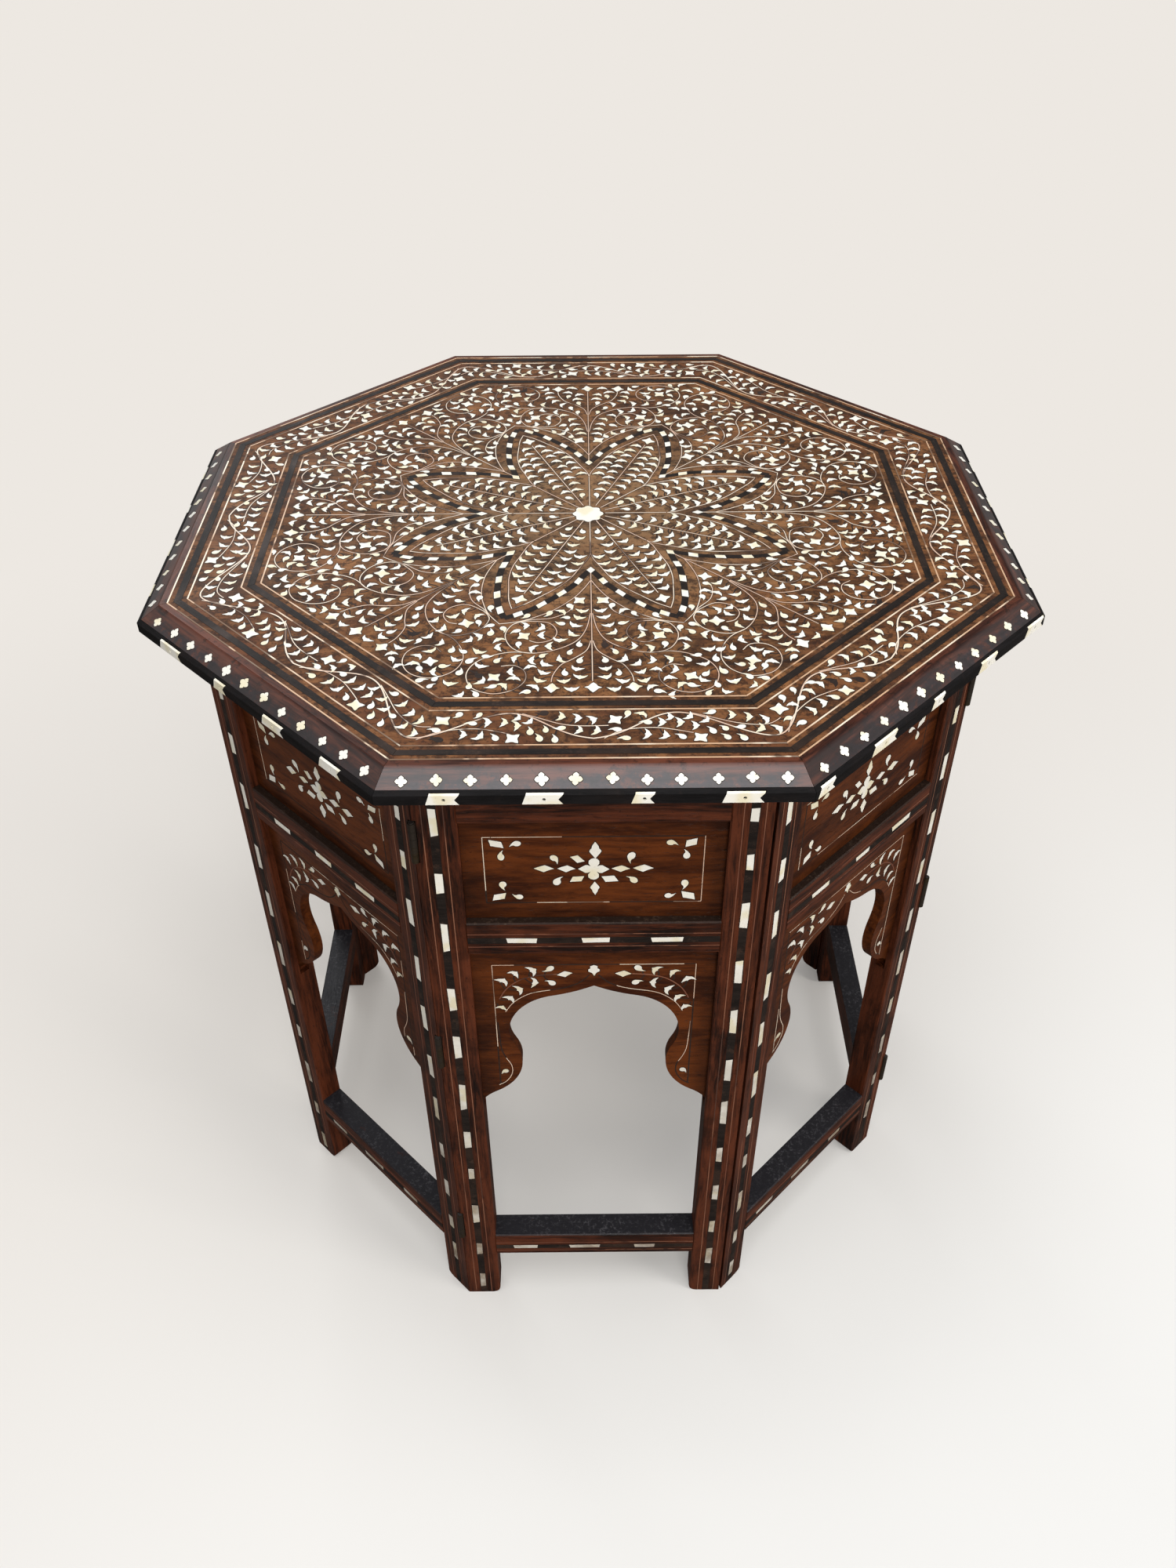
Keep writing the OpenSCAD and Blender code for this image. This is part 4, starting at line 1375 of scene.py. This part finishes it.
def make_materials():
    """Makes every finish. A wood is given by its dark and light figure and its stretch along the grain."""
    c = bpy.context.scene.table_colours
    build_shader_groups()
    bone_material(c.bone)
    ebony_material("ebony", c.ebony, (0.045, 0.025, 0.017), 0.52, 0.12)
    ebony_material("edge_ebony", (0.0045, 0.0040, 0.0042), (0.012, 0.008, 0.007), gloss=0.08)
    ebony_material("setting", (0.014, 0.008, 0.006), (0.036, 0.019, 0.012))
    line_material("stem", c.stem, (0.12, 0.055, 0.03), (0.80, 0.66, 0.52), 0.58)
    line_material("bone_line", (0.60, 0.38, 0.23), (0.11, 0.055, 0.028), (0.88, 0.78, 0.62), 0.54, 0.50)
    line_material("thread", (0.16, 0.055, 0.030), (0.035, 0.013, 0.008), (0.24, 0.10, 0.055), 0.55)
    rosewood = (c.rosewood_dark, c.rosewood_light)
    wood("frame_stiles", *rosewood, (16.0, 16.0, 1.0), 5.5)
    wood("frame_rails", *rosewood, (1.0, 16.0, 16.0), 5.5, paint=sooty_ledges_and_cold_sheen)
    panel = (c.panel_dark, c.panel_light)
    wood("infill_panels", *panel, (1.0, 7.0, 7.0), 7.5, 0.38, grime=0.4, gloss=0.13, paint=shade_and_dirt_borders)
    top = (c.top_dark, c.top_light)
    wood("top_wood", *top, (1.0, 9.0, 9.0), 7.0, 0.6, False, grime=0.6, gloss=0.13, paint=mottled_top)
    moulding_material(c.edge_wood)
    metal_material("hinge_brass", c.brass, (0.022, 0.015, 0.010), 0.6, 0.2)
    metal_material("screw_brass", c.brass, (0.08, 0.055, 0.028), 0.5, 0.8)
    metal_material("pin_iron", (0.16, 0.15, 0.15), (0.035, 0.028, 0.025), 0.6, 0.35)


def materials():
    """Finishes by name. They are made on the first call."""
    if LOOK + "bone" not in bpy.data.materials:
        make_materials()
    looks = [made for made in bpy.data.materials if made.name.startswith(LOOK)]
    return {made.name.removeprefix(LOOK): made for made in looks}


# Operators.

FINISHES = {
    "stiles": "frame_stiles",
    "rails": "frame_rails",
    "upper_panel": "infill_panels",
    "arch_panel": "infill_panels",
    "hinge_leaves": "hinge_brass",
    "hinge_screws": "screw_brass",
    "hinge_pins": "pin_iron",
    "top_board": "top_wood",
    "top_edge_moulding": "edge_moulding",
    "top_edge_banding": "edge_ebony",
    "top_edge_plaques": "bone",
    "top_ebony_strips": "ebony",
    "top_bone_lines": "bone_line",
}


class TABLE_OT_finish_solids(bpy.types.Operator):
    """Give the solids of the frame, the top and the hinges their finishes"""

    bl_idname = "side_table.finish_solids"
    bl_label = "Finish the solids"

    def execute(self, context):
        looks = materials()
        for name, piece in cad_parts.items():
            chosen = [look for ending, look in FINISHES.items() if name.endswith(ending)]
            if len(chosen) != 1:
                raise RuntimeError(f"no single finish for {name}")
            for slot in piece.material_slots:
                slot.material = looks[chosen[0]]
        return {"FINISHED"}


class TABLE_OT_cut_shapes(bpy.types.Operator):
    """Cut the templates of the bone pieces and of their settings, and build the trees that lay them"""

    bl_idname = "side_table.cut_shapes"
    bl_label = "Cut the shapes"

    def execute(self, context):
        inlay = context.scene.table_inlay
        shape_collection("Bone", 0.0, BONE_H)
        shape_collection("Setting", inlay.setting / MM, SETTING_H)
        inlay_tree()
        strip_tree()
        return {"FINISHED"}


class TABLE_OT_field_inlay(bpy.types.Operator):
    """Lay the vines of the field round the petals"""

    bl_idname = "side_table.field_inlay"
    bl_label = "Field inlay"

    def execute(self, context):
        seed = context.scene.table_inlay.seed
        drawing = field_drawing(seed)
        drawing.lose(LOST_IN_FIELD)
        lay_on_top(drawing, "field_inlay", seed)
        return {"FINISHED"}


class TABLE_OT_petal_inlay(bpy.types.Operator):
    """Lay the eight petals with their chequered bands and the rosette"""

    bl_idname = "side_table.petal_inlay"
    bl_label = "Petal inlay"

    def execute(self, context):
        seed = context.scene.table_inlay.seed + 1
        lay_on_top(petal_drawing(seed), "petal_inlay", seed)
        return {"FINISHED"}


class TABLE_OT_frieze_inlay(bpy.types.Operator):
    """Lay the running vine of the frieze"""

    bl_idname = "side_table.frieze_inlay"
    bl_label = "Frieze inlay"

    def execute(self, context):
        seed = context.scene.table_inlay.seed + 2
        drawing = frieze_drawing(seed)
        drawing.lose(LOST_IN_FRIEZE)
        lay_on_top(drawing, "frieze_inlay", seed)
        return {"FINISHED"}


class TABLE_OT_bevel_inlay(bpy.types.Operator):
    """Lay the row of four-lobed flowers along the bevel"""

    bl_idname = "side_table.bevel_inlay"
    bl_label = "Bevel inlay"

    def execute(self, context):
        seed = context.scene.table_inlay.seed + 3
        row = Drawing(seed)
        for i in range(BEVEL_FLOWERS):
            size = row.chance.uniform(0.72, 0.86)
            row.put("flower", ((i - (BEVEL_FLOWERS - 1) / 2) * BEVEL_PITCH, 0), (0.05, 1), (size, size))
        row.shake(0.5)

        slope = math.degrees(math.atan2(BEVEL_DROP, BEVEL_RUN))
        middle = (TOP_APOTHEM - BEVEL_RUN / 2, WOOD_TOP - BEVEL_DROP / 2)
        bevels = [face_matrix(k, *middle, slope) for k in range(8)]
        lay(row, bevels, "bevel_inlay", "table_top", seed)
        return {"FINISHED"}


class TABLE_OT_panel_inlay(bpy.types.Operator):
    """Lay the roses, sprigs and sprays of the infill panels"""

    bl_idname = "side_table.panel_inlay"
    bl_label = "Panel inlay"

    def execute(self, context):
        for k, side in enumerate(SIDES):
            seed = context.scene.table_inlay.seed + 10 + k
            upper = face_matrix(k, RING_APOTHEM - RECESS, PANEL_MIDDLE)
            lay(upper_panel_drawing(seed), [upper], f"{side}_rose", f"{side}_panel", seed)
            lower = face_matrix(k, RING_APOTHEM - RECESS, WOOD_TOP)
            lay(arch_drawing(seed), [lower], f"{side}_spray", f"{side}_panel", seed)
        return {"FINISHED"}


class TABLE_OT_frame_inlay(bpy.types.Operator):
    """Lay the banded inlay of the stiles and rails"""

    bl_idname = "side_table.frame_inlay"
    bl_label = "Frame inlay"

    def execute(self, context):
        for k, side in enumerate(SIDES):
            face = face_matrix(k, RING_APOTHEM, 0)
            lay(frame_drawing(k), [face], f"{side}_bands", f"{side}_panel", 40 + k)
        return {"FINISHED"}


class TABLE_OT_stage(bpy.types.Operator):
    """Set the floor, the light and the camera"""

    bl_idname = "side_table.stage"
    bl_label = "Stage"

    def execute(self, context):
        look = context.scene.table_stage
        self.floor(look)
        self.sky(look)
        for name, values in LAMPS.items():
            self.lamp(name, *values)
        self.camera(look)
        context.scene.view_settings.view_transform = "Standard"
        return {"FINISHED"}

    def floor(self, look):
        """A wide floor that fades from its near to its far colour, with painted shade on its left side, and
        keeps the table's shadow.
        """
        reach = FLOOR_REACH
        corners = [(-reach, -reach, 0), (reach, -reach, 0), (reach, reach, 0), (-reach, reach, 0)]
        mesh = bpy.data.meshes.new("floor")
        mesh.from_pydata(corners, [], [(0, 1, 2, 3)])
        piece = bpy.data.objects.new("floor", mesh)
        bpy.context.scene.collection.objects.link(piece)

        shader, coords = new_material("floor")
        surface = shader.outputs[0].links[0].to_socket
        x, y, _ = parts(coords)
        distance = vector_maths("LENGTH", coords, output="Value")
        # The x term paints shade: the floor darkens towards the left, as if lit from the right.
        far = maths("MAXIMUM", ramp(x * -0.6 + y, -0.75, 0.35), ramp(distance, 1.4, 4.0))
        tone = mix(far, look.floor_near, look.floor_far)
        lit_tone = vector_maths("SCALE", tone, Scale=0.9)
        dress(shader, Base_Color=lit_tone, Roughness=0.9, Specular_IOR_Level=0.0)
        lit = ramp(distance, 1.1, 0.3) * look.shadow
        glow = node("ShaderNodeEmission", Color=tone)
        seen = node("ShaderNodeMixShader", lit, glow, Wire(shader.outputs[0]))
        dim = coords.tree.nodes.new("ShaderNodeBsdfDiffuse")
        dim.inputs["Color"].default_value = (0.16, 0.15, 0.14, 1)
        plug(surface, self.by_camera(coords.tree, Wire(dim.outputs[0]), seen))
        mesh.materials.append(bpy.data.materials[LOOK + "floor"])

    def sky(self, look):
        """Even light, and behind the table the colour of the far floor."""
        world = bpy.data.worlds.new("studio")
        bpy.context.scene.world = world
        world.use_nodes = True
        nodes = world.node_tree.nodes
        nodes.clear()
        shades = []
        for shade, strength in (((1.0, 0.985, 0.965), look.sky), (look.floor_far, 1.0)):
            made = nodes.new("ShaderNodeBackground")
            made.inputs["Color"].default_value = (*shade, 1)
            made.inputs["Strength"].default_value = strength
            shades.append(Wire(made.outputs[0]))
        out = nodes.new("ShaderNodeOutputWorld")
        plug(out.inputs["Surface"], self.by_camera(world.node_tree, *shades))

    def by_camera(self, tree, for_light, for_camera):
        """One shader for the light on the table, and another that the camera sees."""
        path = tree.nodes.new("ShaderNodeLightPath")
        return node("ShaderNodeMixShader", Wire(path.outputs["Is Camera Ray"]), for_light, for_camera)

    def lamp(self, name, at, towards, size, watts, tint):
        light = bpy.data.lights.new(name, "AREA")
        light.color = tint
        light.shape = "SQUARE"
        light.size = size
        light.energy = watts
        holder = bpy.data.objects.new(name, light)
        bpy.context.scene.collection.objects.link(holder)
        holder.location = at
        holder.rotation_euler = (Vector(towards) - Vector(at)).to_track_quat("-Z", "Y").to_euler()

    def camera(self, look):
        """The camera of the photograph, from its place and its three angles."""
        yaw, pitch, roll = (math.radians(a) for a in CAMERA_ANGLES)
        heading = Vector((math.sin(yaw), math.cos(yaw), 0))
        ahead = heading * math.cos(pitch) - Vector((0, 0, math.sin(pitch)))
        level = ahead.cross(Vector((0, 0, 1))).normalized()
        right = level * math.cos(roll) + level.cross(ahead) * math.sin(roll)
        turn = Matrix((right, right.cross(ahead), -ahead)).transposed().to_4x4()
        lens = bpy.data.cameras.new("view")
        lens.lens = look.lens
        lens.sensor_width = 36
        lens.clip_start = 0.01
        holder = bpy.data.objects.new("view", lens)
        bpy.context.scene.collection.objects.link(holder)
        holder.matrix_world = Matrix.Translation(CAMERA_PLACE) @ turn
        bpy.context.scene.camera = holder


class TABLE_PT_panel(bpy.types.Panel):
    """Side table tools"""

    bl_label = "Side table"
    bl_space_type = "VIEW_3D"
    bl_region_type = "UI"
    bl_category = "Side table"

    def draw(self, context):
        for operator in OPERATORS:
            self.layout.operator(operator.bl_idname)
        for name in SETTINGS:
            settings = getattr(context.scene, name)
            box = self.layout.box()
            for key in settings.__annotations__:
                box.prop(settings, key)


OPERATORS = [
    TABLE_OT_finish_solids,
    TABLE_OT_cut_shapes,
    TABLE_OT_field_inlay,
    TABLE_OT_petal_inlay,
    TABLE_OT_frieze_inlay,
    TABLE_OT_bevel_inlay,
    TABLE_OT_panel_inlay,
    TABLE_OT_frame_inlay,
    TABLE_OT_stage,
]
SETTINGS = {"table_inlay": TableInlay, "table_colours": TableColours, "table_stage": TableStage}
CLASSES = [*SETTINGS.values(), *OPERATORS, TABLE_PT_panel]


def register():
    for each in CLASSES:
        bpy.utils.register_class(each)
    for name, settings in SETTINGS.items():
        setattr(bpy.types.Scene, name, PointerProperty(type=settings))


def unregister():
    for name in SETTINGS:
        delattr(bpy.types.Scene, name)
    for each in reversed(CLASSES):
        bpy.utils.unregister_class(each)


def main():
    register()
    bpy.ops.side_table.finish_solids()
    bpy.ops.side_table.cut_shapes()
    bpy.ops.side_table.field_inlay()
    bpy.ops.side_table.petal_inlay()
    bpy.ops.side_table.frieze_inlay()
    bpy.ops.side_table.bevel_inlay()
    bpy.ops.side_table.panel_inlay()
    bpy.ops.side_table.frame_inlay()
    bpy.ops.side_table.stage()


if __name__ == "__main__":
    main()
